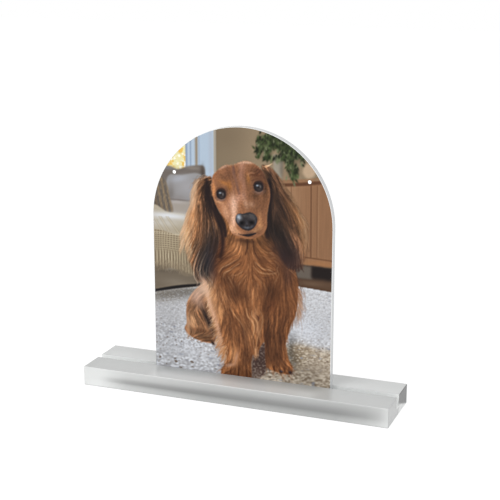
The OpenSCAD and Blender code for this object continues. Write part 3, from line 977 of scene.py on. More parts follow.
fringe([(33, 96), (38, 94.6), (42, 96)], lie([(36, 96, -96), (42, 96, -80)]), 4, 90, (SOOT, (90, 80, 78)),
    134, 1.0, blend=0.7, spread=0.2)
pen([(17.4, 160), (19.4, 160.2), (21.8, 161.6)], 0.7, 0.3, 0.7, (232, 196, 158), 0.8)
pen([(15, 159.6), (18, 159.2), (20.6, 160.6)], 0.6, 0.3, 0.7, (220, 180, 140), 0.6)
print("right ear painted")

# %% [markdown]
# With all the hair in place, the light is set for the dog as a whole, so
# that its parts read as one animal. The difference from the empty room tells
# where it is. First its shades are deepened, more than its lights, and the
# ears get their dark folds and a bright edge towards the window.

# %% Deeper shades and the edges of the ears
dog_mask = blur((np.abs(canvas - before).max(2) / 8).clip(0, 1), 0.35)
tone = ((canvas.mean(2) - 70) / 90).clip(0, 1)
canvas[:] *= 1 - (dog_mask * (0.25 - 0.21 * tone))[..., None]
pen([(-24, 147), (-23.4, 138), (-20.5, 130), (-16.6, 122), (-13.6, 114), (-12.8, 105), (-14.5, 96)], 3.2,
    1.2, 0.3, (34, 24, 24), 0.92)
pen([(-20, 136), (-17.6, 128.4), (-14.4, 122.6), (-11.8, 117.6), (-10.8, 111)], 3.2, 0.8, 0.3, (36, 25, 24),
    0.92)
pen([(19, 150), (21, 141), (20.2, 131), (19.2, 122), (18.6, 113)], 2.6, 1.2, 0.3, (36, 25, 24), 0.85)
brush(dog_mask * 0.8, (-32.6, 140, 1.5, 5, -8, (206, 166, 132), 0.9),
    (-33.6, 131, 1.8, 7, -8, (208, 164, 128), 0.9), (-36.6, 121, 2.4, 7, 15, (208, 162, 122), 0.8),
    (-40, 111, 1.8, 7, 10, (212, 176, 140), 0.6))
fringe([(-29, 148), (-33.4, 140), (-34.8, 131), (-37.4, 123), (-40.4, 113), (-41, 103)], EAR_L_LIE, 9, 320,
    ((208, 174, 144), (198, 158, 122), CREAM), 106, 0.8, blend=0.9, spread=0.07, wave=0.15, strength=0.5)
print("edges of the ears painted")

# %% [markdown]
# The window is on the left, so the right side lies in shade, and so do the
# folds. Relight darkens them with every hair still showing.

# %% Shade
relight(dog_mask, (31, 142, 3, 9, 38, 0.74), (35, 130, 3, 10, 28, 0.76), (42, 114, 3, 8, 5, 0.88),
    (-26, 96, 5, 10, 10, 0.74), (-25, 84, 4, 5, 0, 0.74), (4, 108.4, 9, 1.8, 0, 0.75),
    (-36, 116, 3, 6, 15, 0.9), (-2, 92, 5, 6, 0, 0.92), (-3, 72, 7, 6, -30, 0.5), (-10, 80, 5, 6, 0, 0.75),
    (6, 105, 3, 6, 0, 0.8), (-14, 96, 5, 6, 0, 0.7), (12, 106, 4, 5, 0, 0.85), (14, 96, 5, 5, 0, 0.85),
    (30, 66, 8, 14, 0, 0.78), (24, 90, 6, 8, 0, 0.8), (18, 60, 3, 14, 5, 0.62), (21, 44, 4, 12, 0, 0.62),
    (26, 32, 6, 8, 0, 0.66), (30, 50, 6, 10, 0, 0.8), (30, 41, 2.6, 8, 0, 0.84), (33, 42, 1.4, 10, -4, 1.2),
    (5, 49, 3, 5, 20, 0.85), (1, 48, 2, 8, 25, 0.75), (14, 54, 1.6, 8, 0, 0.8), (4, 28, 3, 9, 0, 0.72),
    (0, 18, 5, 4, 0, 0.75), (-25, 52, 2.4, 9, 28, 0.65), (-30, 40, 8, 2.4, -8, 0.75),
    (-12, 82, 4, 4, 0, 0.8), (-10, 56, 4, 8, 10, 0.85), (-4, 40, 3, 6, 20, 0.85), (24, 121, 3, 8, 10, 0.7),
    (29, 111, 3.4, 8, 20, 0.72), (33.5, 102, 4, 5, 20, 0.6), (39.4, 113, 2, 8, 10, 1.35),
    (-20.4, 108, 2.6, 8, 0, 0.72), (22, 76, 5, 7, 0, 0.5), (27, 40, 5, 10, 0, 0.86),
    (17.5, 158.5, 2.4, 1.8, -30, 1.45))
print("shade painted")

# %% [markdown]
# The edges towards the window are bright, and three dark dabs deepen the
# ears. Last, a thin red-brown layer warms the darker hair below the head.

# %% Light from the window
brush(dog_mask * 0.8, (-26.4, 77, 2, 4, 20, PEACH, 0.8), (-24.6, 71, 1.8, 5, 10, PEACH, 0.95),
    (-22.4, 63, 1.8, 6, 14, PEACH, 0.95), (-19.6, 55, 1.8, 6, 16, PEACH, 0.85),
    (-17, 47, 1.6, 6, 10, PEACH, 0.8), (-15, 38, 1.8, 6, 6, PEACH, 0.7),
    (-30, 62, 3, 4, 30, (196, 156, 134), 0.6), (-3.4, 26, 1.3, 5, -15, PEACH, 0.7),
    (-8, 20.4, 4, 1.4, 20, PEACH, 0.8), (-32, 69, 5, 4, 30, (206, 170, 148), 0.8),
    (-28, 73, 4, 5, 20, (214, 180, 156), 0.8), (-38.6, 47, 1.6, 7, 0, (196, 156, 124), 0.8),
    (10, 58, 1.8, 5, -16, (204, 150, 106), 0.7), (12.4, 49, 1.8, 6, 0, (200, 146, 104), 0.6),
    (-20.6, 82, 2.2, 3.6, 0, (180, 140, 112), 0.5), (-19, 63, 2, 8, 14, (210, 160, 118), 0.55),
    (1, 52, 2.4, 5, 20, (176, 124, 80), 0.5), (6, 43, 2.6, 6, 20, (182, 130, 86), 0.5),
    (4, 40, 2, 4, 0, (150, 104, 70), 0.4))
brush(dog_mask * 0.9, (-23, 91, 4, 10, 8, (40, 37, 42), 0.72), (31, 100, 6, 8, 25, (30, 27, 31), 0.9),
    (25, 128, 3, 10, 8, (58, 44, 38), 0.4))
red = dog_mask * (0.12 + 0.1 * ((120 - canvas.mean(2)) / 60).clip(0, 1))
lay(red * ((116 - Z) / 20).clip(0, 1) * ((X + 24) / 6).clip(0, 1), (120, 58, 36), 1)
print("light from the window painted")

# %% [markdown]
# The head lies in front of both ears. Its hair is short, so dabs do most of
# the work here.

# %% Head
head_shape = coat([(4.6, 162.1), (0.9, 161.4), (-2.9, 159.9), (-5.4, 158.5), (-9.1, 158.6), (-12.9, 157.3),
    (-16.6, 154.1), (-19.75, 150.4), (-20.3, 146), (-20.2, 141), (-19.6, 137), (-17.4, 131), (-13.8, 125.4),
    (-9.2, 120.4), (-7.8, 116.2), (-5.9, 112.8), (-2, 111), (4, 110.3), (9, 110.8), (13, 112.4),
    (16.6, 115.4), (18.4, 119.8), (18.4, 126), (19.2, 132), (20.4, 138), (20.5, 142.6), (19.4, 147.2),
    (17.4, 151.6), (15.4, 156), (11.7, 159.3), (7.9, 161.4)], (146, 98, 68), FACE_LIE, 141,
    ((-13, 152.6, 5, 4, 35, (136, 92, 64), 0.9), (-9.4, 153, 3, 5, 0, (126, 84, 60), 0.9),
    (-12.4, 157.4, 6, 1.3, 24, (184, 146, 124), 0.9), (1, 158.6, 3, 3, 30, (182, 132, 106), 0.9),
    (5, 161.2, 5.4, 1, 0, (204, 164, 138), 0.9), (13, 156, 3.4, 3, -40, (112, 70, 50), 0.9),
    (16.6, 151, 2, 4, 15, (96, 62, 50), 0.9), (0.2, 152.6, 1.9, 4.4, -4, (182, 130, 106), 0.9),
    (9.6, 153.6, 4, 1.3, -12, (112, 66, 44), 0.85), (2.2, 147, 1.6, 6, 0, (166, 118, 94), 0.85),
    (-11.4, 146.4, 3.6, 1.5, -16, (188, 122, 68), 0.95), (-7.8, 144.6, 1.6, 3.4, 10, (186, 120, 66), 0.95),
    (-19, 140.6, 1.1, 5, 0, (196, 132, 84), 0.95), (5.4, 150.2, 1.4, 3.4, 8, (192, 128, 74), 0.95),
    (17, 148.6, 1.3, 2.8, 24, (176, 116, 70), 0.9), (-15.6, 133.6, 3, 1.3, -20, (190, 140, 104), 0.9),
    (-9.6, 127, 2.4, 4, 20, (164, 114, 82), 0.85), (-8, 132, 2, 3, 20, (172, 124, 98), 0.8),
    (-4.8, 134.6, 2.4, 4, 14, (190, 144, 120), 0.95), (-5.6, 128.4, 2, 4, 6, (202, 154, 126), 0.95),
    (-1.6, 137.4, 1.9, 3, -10, (176, 130, 108), 0.85), (2, 138.6, 2.4, 3.4, 0, (164, 120, 98), 0.85),
    (3.8, 133.4, 1.6, 3.2, 18, (196, 150, 122), 0.8), (7.6, 133.6, 2.6, 2, -20, (186, 140, 110), 0.9),
    (13.4, 125.6, 1.5, 4, 6, (186, 130, 88), 0.95), (13.6, 119.6, 2, 3, 10, (194, 138, 94), 0.95),
    (10.6, 116.6, 3, 1.4, 26, (188, 138, 98), 0.9), (-5.6, 122.6, 1.8, 4, -6, (206, 156, 124), 0.95),
    (-6.6, 117.4, 2.2, 2.8, -20, (210, 156, 118), 0.95), (-3, 114.6, 3.2, 1.6, -22, (206, 154, 116), 0.95),
    (-2.6, 112.4, 2, 0.6, -10, (172, 128, 98), 0.7)), 0.015, 0.02, 0.25)
print("head painted")

# %% [markdown]
# More dabs round the forehead, the cheeks and the muzzle. A faint speckle
# stands for the short hair on the bridge of the nose.

# %% Relief of the head
relight(head_shape, (12, 134, 8, 12, 0, 0.8), (12, 152, 8, 7, -30, 0.8), (18.4, 142, 2.4, 10, 0, 0.85),
    (5, 148, 3, 5, 0, 0.88), (12, 116, 5, 3, 20, 0.84), (-14, 144, 4, 3, 0, 0.92),
    (-10, 151, 6, 5, 0, 0.86), (1, 154, 4, 5, 0, 0.9), (-2, 153, 9, 5, 0, 0.93),
    (0.4, 136.4, 2.6, 3.6, 0, 1.14), (-7, 134, 2.4, 5, 10, 1.12), (-12, 127.5, 3, 5, 20, 1.14),
    (4.6, 154.6, 2.6, 2.6, 0, 1.15), (-19, 147, 2, 5, 0, 1.12), (-11.7, 153.4, 3.4, 2.6, 20, 1.15),
    (5.7, 112.2, 3.6, 0.9, 0, 0.72), (17.2, 145, 1.5, 6, 0, 0.6), (-8.2, 142.4, 2.2, 4, 0, 0.76),
    (10, 139.6, 3, 2.6, 0, 0.72), (9, 156, 4, 2.6, 0, 0.84))
brush(head_shape, (-4.6, 131.6, 2.2, 7, 4, (222, 178, 152), 0.85),
    (-4.6, 121.8, 1.7, 5, -4, (232, 186, 158), 0.9), (-6, 116, 2, 3, -20, (224, 172, 136), 0.75),
    (-10.4, 127, 2.4, 6, 20, (206, 156, 124), 0.7), (0, 161, 5, 1.2, 14, (206, 168, 142), 0.6))
bridge = dab(-1, 134, 6, 7, 10) * head_shape
grain = 0.08 * speckle(1.5, 0.9, 145) * bridge + 0.045 * speckle(1.1, 1.1, 146) * head_shape
canvas[:] *= 1 + grain[..., None]
hairs(head_shape, FACE_LIE, 1.6, 2600, (GOLD, CHESTNUT, ROSE, BRONZE), 143, blend=0.35, tone=0.16,
    strength=0.4, spread=0.3)
print("relief of the head painted")

# %% [markdown]
# Soft lines draw the furrow of the forehead, the lids and the cheeks, and
# short pale hairs cross the top of the head.

# %% Lines of the face
strokes(0.75, 0.6, (((-5.4, 158), (-5, 153.4), (-3.2, 149), (-2.2, 144.6), (-0.8, 140.6)), 2.2,
    (116, 84, 74), 0.5), (((-4.8, 158), (-4.6, 155.6), (-4, 153)), 1.4, (92, 66, 62), 0.45),
    (((-2.6, 145.6), (-1.9, 142.6), (-1, 140)), 1.1, (96, 68, 62), 0.4),
    (((-6.4, 150), (-5, 145), (-4.4, 140)), 1.0, (128, 88, 72), 0.4),
    (((-17.2, 141.6), (-15.4, 143), (-12.6, 143.2), (-10, 141.4)), 0.8, (84, 54, 40), 0.7),
    (((-18.6, 136.4), (-16.4, 134.8), (-13, 134.4), (-10, 135.6)), 0.7, (112, 80, 68), 0.6),
    (((8.2, 149.4), (10.6, 150.7), (14, 150.4), (16.8, 147.6)), 0.9, (84, 52, 38), 0.75),
    (((8.6, 142.4), (11.6, 141), (15.2, 141.4), (17.2, 143.6)), 0.8, (104, 78, 70), 0.6),
    (((5, 153.4), (7.4, 154.6), (9.4, 154.4)), 0.7, (196, 142, 104), 0.6),
    (((-9.4, 134.6), (-7.6, 132), (-8.4, 129)), 0.5, (130, 92, 72), 0.5),
    (((7.6, 139), (9.4, 136), (9.4, 132.4)), 0.6, (122, 84, 64), 0.5),
    (((10.6, 137.6), (12.4, 134.6), (12.2, 131.6)), 0.5, (120, 82, 62), 0.45),
    (((-6.6, 126), (-8, 122.6), (-8.4, 119)), 0.5, (150, 104, 76), 0.5),
    (((13, 130), (11.8, 127.6), (12, 124)), 0.6, (124, 82, 56), 0.6))
fringe([(-19, 151.4), (-12, 157.2), (-5, 158.4), (1, 161), (8, 161), (14, 157.4)],
    lie([(-16, 154, 150), (-6, 160, 130), (4, 162, 80), (14, 159, 40)]), 1.0, 110, (CREAM, ROSE), 144, 0.4,
    blend=0.6, spread=0.3)
print("lines of the face painted")

# %% [markdown]
# Both eyes come from one function, in shares of the eye's width: a dark rim,
# the ball, the iris, and the reflected window.


# %% Eyes
def eye(x, z, wide, tilt):
    c, s = math.cos(math.radians(tilt)), math.sin(math.radians(tilt))

    def at(*pairs):
        return [(x + wide * (u * c - v * s), z + wide * (u * s + v * c)) for u, v in pairs]

    lay(fill(at((-1.2, -0.1), (-0.8, 0.9), (0, 1.25), (0.85, 1.0), (1.3, 0.05), (0.8, -0.85), (0, -1.16),
        (-0.85, -0.9)), 0.6), (82, 56, 46), 0.7)
    lay(fill(at((-1.0, 0), (-0.7, 0.75), (0, 1.0), (0.7, 0.8), (1.0, 0.1), (0.7, -0.7), (0, -0.96),
        (-0.72, -0.72)), 0.28), (32, 26, 28), 0.97)
    lights = (((0.04, -0.12), 0.56, 0.46, (74, 64, 60), 0.9), ((0.0, 0.02), 0.34, 0.34, (30, 26, 28), 0.95),
        ((-0.14, 0.3), 0.36, 0.2, (116, 120, 128), 0.7), ((0.36, 0.06), 0.16, 0.26, (112, 108, 108), 0.7),
        ((-0.26, 0.3), 0.16, 0.14, (156, 164, 176), 0.8), ((0.1, -0.62), 0.5, 0.12, (72, 60, 58), 0.7))
    for place, w, h, colour, strength in lights:
        px, pz = at(place)[0]
        brush(None, (px, pz, w * wide, h * wide, tilt, colour, strength))
    pen(at((-0.85, -0.8), (-0.1, -1.1), (0.8, -0.8)), 0.8, 0.5, 0.6, (140, 122, 118), 0.45)
    pen(at((-1.05, 0.35), (-0.5, 1.0), (0.45, 1.1), (1.06, 0.5)), 0.7, 0.35, 0.5, (40, 26, 24), 0.8)


eye(-13.7, 138.6, 3.4, 2)
eye(12.6, 145.6, 3.4, 8)
print("eyes painted")

# %% [markdown]
# The nose is wet leather: nearly black, with soft bluish lights from the
# window and two deep nostrils. The mouth is one dark line.

# %% Nose and mouth
pad = fill([(-3.6, 123), (-2.8, 125.6), (-0.6, 126.8), (2, 126.9), (4.4, 127.8), (6.8, 128.2), (9.6, 127.3),
    (11.6, 124.8), (11.3, 121.6), (9.7, 118.5), (7.1, 116.3), (4.4, 115.7), (1.2, 116.6), (-1.7, 118.8),
    (-3.3, 121)], 0.25)
lay(blur(pad, 0.8), (92, 66, 56), 0.5)
lay(pad, (44, 39, 40))
brush(pad, (-1.3, 124.4, 2, 2.2, 20, (166, 174, 184), 0.95),
    (-1.9, 121.6, 1, 1.6, 20, (112, 110, 114), 0.8), (3, 125.6, 2.4, 1.2, 0, (74, 68, 66), 0.85),
    (8, 126.4, 2.6, 1.2, -10, (74, 70, 68), 0.9), (9.8, 124.2, 1.3, 1.8, 0, (66, 62, 62), 0.8),
    (3.2, 122.6, 1.4, 1.6, 0, (46, 43, 45), 0.8), (4.4, 120.2, 1, 2, 0, (66, 65, 70), 0.7),
    (0.9, 120.5, 1.7, 1.2, 20, (9, 7, 9), 0.99), (7.7, 121.6, 1.7, 1.3, -10, (9, 7, 9), 0.99),
    (4.4, 117.8, 2.2, 0.8, 0, (92, 96, 104), 0.85), (8, 118.8, 1.6, 0.8, 35, (76, 76, 82), 0.7),
    (7.6, 124.8, 2.4, 1.6, 0, (96, 93, 95), 0.5), (10.6, 121.6, 0.7, 1.6, 0, (70, 68, 72), 0.7),
    (4.4, 118.9, 0.4, 1.0, 0, (26, 23, 26), 0.8))
canvas[:] *= 1 + 0.05 * (speckle(1.0, 1.0, 151) * pad)[..., None]
brush(None, (6.4, 114.2, 4, 1.1, 8, (84, 62, 52), 0.55))
pen([(4.2, 115.8), (4.2, 114.8), (4.4, 113.9)], 0.7, 0.4, 0, (120, 84, 66), 0.5)
pen([(-1.6, 113.2), (1.4, 112.5), (5, 112.6), (8, 113.3), (11, 114.8)], 0.7, 0.35, 0.5, (66, 50, 46), 0.85)
pen([(1.6, 112.5), (6, 112.8), (10.4, 114.3)], 1.7, 0.4, 0.8, (32, 26, 28), 0.9)
pen([(11, 114.8), (13.6, 116), (15.4, 117.6)], 0.6, 0.4, 0.5, (126, 84, 60), 0.6)
print("nose painted")

# %% [markdown]
# The bar, the panel and the white ink have shapes that follow a rule, so
# Geometry Nodes makes them and their sizes stay named inputs. Every tree
# starts with its inputs and ends as real geometry with one material.


# %% Start and end of a tree
def add_inputs(tree, sockets):
    for name, kind, value in sockets:
        socket = tree.interface.new_socket(name=name, in_out="INPUT", socket_type="NodeSocket" + kind)
        if value is not None:
            socket.default_value = value
    tree.interface.new_socket(name="Geometry", in_out="OUTPUT", socket_type="NodeSocketGeometry")
    return node(tree, "NodeGroupInput").outputs


def finish_tree(tree, given, geometry):
    real = node(tree, "GeometryNodeRealizeInstances")
    link(tree, geometry, real.inputs[0])
    paint = node(tree, "GeometryNodeSetMaterial")
    link(tree, real.outputs[0], paint.inputs["Geometry"])
    link(tree, given["Material"], paint.inputs["Material"])
    link(tree, paint.outputs[0], node(tree, "NodeGroupOutput").inputs[0])
    print(tree.name, "has", len(tree.nodes), "nodes")


print("tree tools:", add_inputs.__name__, finish_tree.__name__)

# %% [markdown]
# Most steps in these trees calculate a size, or join, weld or move parts.
# Each gets a helper that returns the new output.


# %% Steps of a tree
def maths(tree, operation, first, second=0):
    made = node(tree, "ShaderNodeMath", operation=operation)
    link(tree, first, made.inputs[0])
    link(tree, second, made.inputs[1])
    return made.outputs[0]


def vector(tree, *values):
    made = node(tree, "ShaderNodeCombineXYZ")
    for value, socket in zip(values, made.inputs):
        link(tree, value, socket)
    return made.outputs[0]


def joined(tree, *parts):
    made = node(tree, "GeometryNodeJoinGeometry")
    for part in parts:
        link(tree, part, made.inputs[0])
    return made.outputs[0]


def welded(tree, geometry):
    made = node(tree, "GeometryNodeMergeByDistance")
    link(tree, 1e-6, made.inputs["Distance"])
    link(tree, geometry, made.inputs[0])
    return made.outputs[0]


def moved(tree, geometry, place, turn=(0, 0, 0)):
    made = node(tree, "GeometryNodeTransform")
    link(tree, geometry, made.inputs["Geometry"])
    link(tree, place, made.inputs["Translation"])
    link(tree, turn, made.inputs["Rotation"])
    return made.outputs[0]


print("step tools:", maths.__name__, vector.__name__, joined.__name__, welded.__name__, moved.__name__)

# %% [markdown]
# The panel and the white ink have one outline, an arch on a rectangle with
# two holes, so one tree makes both. It could be drawn by hand, but then a
# new panel width would mean a new drawing. The arch comes first: a half disc
# and two rings go into Fill Curve, which leaves the rings open.

# %% Arch with two holes
sheet_tree = bpy.data.node_groups.new("arch sheet", "GeometryNodeTree")
given = add_inputs(sheet_tree, (("Radius", "Float", 0.06), ("Arch Centre", "Float", 0.12),
    ("Foot", "Float", 0.005), ("Front", "Float", 0), ("Depth", "Float", 0.006), ("Hole X", "Float", 0.04),
    ("Hole Z", "Float", 0.15), ("Hole Radius", "Float", 0.0015), ("Arc Points", "Int", 180),
    ("Ring Points", "Int", 48), ("Material", "Material", None)))
arc = node(sheet_tree, "GeometryNodeCurveArc")
link(sheet_tree, True, arc.inputs["Connect Center"])
link(sheet_tree, math.pi, arc.inputs["Sweep Angle"])
link(sheet_tree, given["Radius"], arc.inputs["Radius"])
link(sheet_tree, given["Arc Points"], arc.inputs["Resolution"])
outlines = [arc.outputs["Curve"]]
lift = maths(sheet_tree, "SUBTRACT", given["Hole Z"], given["Arch Centre"])
for side in (-1, 1):
    ring = node(sheet_tree, "GeometryNodeCurvePrimitiveCircle")
    link(sheet_tree, given["Ring Points"], ring.inputs["Resolution"])
    link(sheet_tree, given["Hole Radius"], ring.inputs["Radius"])
    place = vector(sheet_tree, maths(sheet_tree, "MULTIPLY", given["Hole X"], side), lift)
    outlines.append(moved(sheet_tree, ring.outputs[0], place))
fill_arch = node(sheet_tree, "GeometryNodeFillCurve", mode="TRIANGLES")
link(sheet_tree, joined(sheet_tree, *outlines), fill_arch.inputs["Curve"])
print("outlines in the arch:", len(outlines))

# %% [markdown]
# A plain rectangle goes below the half disc, and the two are welded along
# the line where they meet. It has three columns of points, because the half
# disc has a point in the middle of that line.

# %% Rectangle below the arch
tall = maths(sheet_tree, "SUBTRACT", given["Arch Centre"], given["Foot"])
below = node(sheet_tree, "GeometryNodeMeshGrid")
link(sheet_tree, 3, below.inputs["Vertices X"])
link(sheet_tree, 2, below.inputs["Vertices Y"])
link(sheet_tree, maths(sheet_tree, "MULTIPLY", given["Radius"], 2), below.inputs["Size X"])
link(sheet_tree, tall, below.inputs["Size Y"])
lower = moved(sheet_tree, below.outputs["Mesh"],
    vector(sheet_tree, 0, maths(sheet_tree, "MULTIPLY", tall, -0.5)))
flat = welded(sheet_tree, joined(sheet_tree, fill_arch.outputs[0], lower))
print("flat shape welded by", flat.node.name)

# %% [markdown]
# Extrude pulls the flat shape to its thickness but leaves its start open. A
# flipped copy of the flat shape closes it, and the sheet is stood upright.

# %% Pull the shape to its thickness
pull = node(sheet_tree, "GeometryNodeExtrudeMesh")
link(sheet_tree, False, pull.inputs["Individual"])
link(sheet_tree, flat, pull.inputs["Mesh"])
link(sheet_tree, given["Depth"], pull.inputs["Offset Scale"])
flip = node(sheet_tree, "GeometryNodeFlipFaces")
link(sheet_tree, flat, flip.inputs[0])
solid = welded(sheet_tree, joined(sheet_tree, pull.outputs["Mesh"], flip.outputs[0]))
back_face = maths(sheet_tree, "ADD", given["Front"], given["Depth"])
place = vector(sheet_tree, 0, back_face, given["Arch Centre"])
finish_tree(sheet_tree, given, moved(sheet_tree, solid, place, (math.pi / 2, 0, 0)))

# %% [markdown]
# The bar is a block with a smaller block taken out of its top along the
# whole length, just as a saw would take it out.

# %% The grooved bar tree
bar_tree = bpy.data.node_groups.new("grooved bar", "GeometryNodeTree")
given = add_inputs(bar_tree, (("Length", "Float", 0.2), ("Depth", "Float", 0.05),
    ("Height", "Float", 0.013), ("Groove Width", "Float", 0.0065), ("Groove Depth", "Float", 0.008),
    ("Material", "Material", None)))
block = node(bar_tree, "GeometryNodeMeshCube")
link(bar_tree, vector(bar_tree, given["Length"], given["Depth"], given["Height"]), block.inputs["Size"])
half_height = maths(bar_tree, "MULTIPLY", given["Height"], 0.5)
cutter = node(bar_tree, "GeometryNodeMeshCube")
longer = maths(bar_tree, "MULTIPLY", given["Length"], 1.1)
deeper = maths(bar_tree, "MULTIPLY", given["Groove Depth"], 2)
link(bar_tree, vector(bar_tree, longer, given["Groove Width"], deeper), cutter.inputs["Size"])
cut = node(bar_tree, "GeometryNodeMeshBoolean", operation="DIFFERENCE")
link(bar_tree, moved(bar_tree, block.outputs["Mesh"], vector(bar_tree, 0, 0, half_height)),
    cut.inputs["Mesh 1"])
link(bar_tree, moved(bar_tree, cutter.outputs["Mesh"], vector(bar_tree, 0, 0, given["Height"])),
    cut.inputs["Mesh 2"])
finish_tree(bar_tree, given, cut.outputs[0])

# %% [markdown]
# Each tree is run once on an empty mesh, and its result is kept as an
# ordinary mesh. That keeps the file simple for whoever opens it later.


# %% Run a tree
def bake(made):
    evaluated = made.evaluated_get(bpy.context.evaluated_depsgraph_get())
    mesh = bpy.data.meshes.new_from_object(evaluated)
    made.modifiers.clear()
    made.data = mesh
    return made


def grow(name, tree, **inputs):
    made = bpy.data.objects.new(name, bpy.data.meshes.new(name))
    bpy.context.collection.objects.link(made)
    modifier = made.modifiers.new("grow", "NODES")
    modifier.node_group = tree
    for item in tree.interface.items_tree:
        key = item.name.replace(" ", "_")
        if item.item_type == "SOCKET" and item.in_out == "INPUT" and key in inputs:
            modifier[item.identifier] = inputs[key]
    return bake(made)


print("run tools:", bake.__name__, grow.__name__)

# %% [markdown]
# Real acrylic never has a perfectly sharp edge, and a narrow bevel catches
# the light there. Flat parts become single faces first, because a bevel runs
# evenly only along clean edges. The share says how wide it gets at a place.

# %% Soften the edges
SHARP = 0.6
BEVEL_STEPS = 3


def soften(made, width, share):
    work = bmesh.new()
    work.from_mesh(made.data)
    bmesh.ops.dissolve_limit(work, angle_limit=math.radians(0.2), verts=work.verts, edges=work.edges)
    layer = work.edges.layers.float.new("bevel_weight_edge")
    for face in work.faces:
        face.smooth = True
    for edge in work.edges:
        if edge.calc_face_angle() > SHARP:
            edge[layer] = share((edge.verts[0].co + edge.verts[1].co) / 2) if edge.is_convex else 0
            edge.smooth = edge.is_convex
    work.to_mesh(made.data)
    work.free()
    bevel = made.modifiers.new("bevel", "BEVEL")
    bevel.limit_method = "WEIGHT"
    bevel.width = width
    bevel.segments = BEVEL_STEPS
    bevel.loop_slide = False
    bevel.harden_normals = True
    bake(made)
    print(made.name, len(made.data.vertices), "vertices", len(made.data.polygons), "faces")


print("edge tool:", soften.__name__)

# %% [markdown]
# The bar's outer edges get the full bevel and the mouth of the groove a
# finer one, where the saw left it crisper.

# %% The bar
BAR_BEVEL, GROOVE_SHARE = 0.6 * MM, 0.67
bar_acrylic = bpy.data.materials.new("bar_acrylic")
bar = grow("bar", bar_tree, Length=BAR_LENGTH, Depth=BAR_DEPTH, Height=bar_high[2],
    Groove_Width=GROOVE_WIDTH, Groove_Depth=GROOVE_DEPTH, Material=bar_acrylic)
soften(bar, BAR_BEVEL, lambda middle: GROOVE_SHARE if abs(middle.y) < GROOVE_WIDTH else 1)

# %% [markdown]
# The panel's holes get only half of the bevel, or it would reach under the
# ink. The saw leaves the outer edge slightly frosted and the drill leaves
# the holes milky, so both get a finish of their own; the holes' finish also
# has a painted glow.

# %% The panel
PANEL_BEVEL, HOLE_SHARE = 0.2 * MM, 0.5
panel_acrylic = bpy.data.materials.new("panel_acrylic")
cut_edge = bpy.data.materials.new("cut_edge")
drilled = bpy.data.materials.new("drilled")
arch = {"Radius": ARCH_RADIUS, "Arch_Centre": ARCH_CENTRE, "Foot": FOOT, "Front": panel_low[1],
    "Depth": panel_high[1] - panel_low[1], "Hole_X": HOLE_X, "Hole_Z": HOLE_Z, "Hole_Radius": HOLE_RADIUS}
panel = grow("panel", sheet_tree, **arch, Material=panel_acrylic)


def near_hole(middle):
    return math.hypot(abs(middle.x) - HOLE_X, middle.z - HOLE_Z) < 2 * HOLE_RADIUS


soften(panel, PANEL_BEVEL, lambda middle: HOLE_SHARE if near_hole(middle) else 1)
for finish in (cut_edge, drilled):
    panel.data.materials.append(finish)
for polygon in panel.data.polygons:
    if abs(polygon.normal.y) < 0.5:
        finish = "drilled" if near_hole(polygon.center) else "cut_edge"
        polygon.material_index = panel.data.materials.find(finish)
print("finishes on the panel:", [finish.name for finish in panel.data.materials if finish])

# %% [markdown]
# White ink lies between the panel and the colours, as a printer lays it so
# that they don't look thin. It reaches a hair into the acrylic, so that no
# gap shows between them.

# %% The white layer
OVERLAP = 0.02 * MM
white_ink = bpy.data.materials.new("white_ink")
PRINT_RADIUS = ARCH_RADIUS - PRINT_INSET
print_foot = FOOT + PRINT_INSET
arch.update(Radius=PRINT_RADIUS, Foot=print_foot, Front=white_low[1], Hole_Radius=PRINT_HOLE,
    Depth=white_high[1] - white_low[1] + OVERLAP)
white = grow("white_layer", sheet_tree, **arch, Material=white_ink)
print(white.name, len(white.data.vertices), "vertices")

# %% [markdown]
# The coloured ink carries the painting, one colour at each of its vertices,
# so it needs a fine mesh: a square grid about half a millimetre wide. Cells
# outside the arch or inside a hole are left out.

# %% Grid for the picture
COLUMNS = 269
STEP = 2 * PRINT_RADIUS / (COLUMNS - 1)
SLACK = 0.25 * STEP
rows = int((ARCH_CENTRE + PRINT_RADIUS - print_foot) / STEP) + 2
spots_x, spots_z = np.meshgrid(STEP * np.arange(COLUMNS) - PRINT_RADIUS,
    print_foot + STEP * np.arange(rows))
middle_x = (spots_x[:-1, :-1] + spots_x[1:, 1:]) / 2
middle_z = (spots_z[:-1, :-1] + spots_z[1:, 1:]) / 2


def from_holes(x, z):
    return np.hypot(np.abs(x) - HOLE_X, z - HOLE_Z)


keep = np.hypot(middle_x, (middle_z - ARCH_CENTRE).clip(0)) < PRINT_RADIUS - SLACK
keep |= middle_z < ARCH_CENTRE
keep &= from_holes(middle_x, middle_z) > PRINT_HOLE + SLACK
row, col = np.nonzero(keep)
first = row * COLUMNS + col
corners = np.stack([first, first + 1, first + COLUMNS + 1, first + COLUMNS], 1)
used, quads = np.unique(corners, return_inverse=True)
quads = quads.reshape(-1, 4)
x = spots_x.ravel()[used]
z = spots_z.ravel()[used]
print("picture grid:", len(quads), "cells", len(used), "vertices")

# %% [markdown]
# The rim of such a grid has steps, so its vertices move onto the true
# outline. An edge is on the rim where it belongs to one cell only.

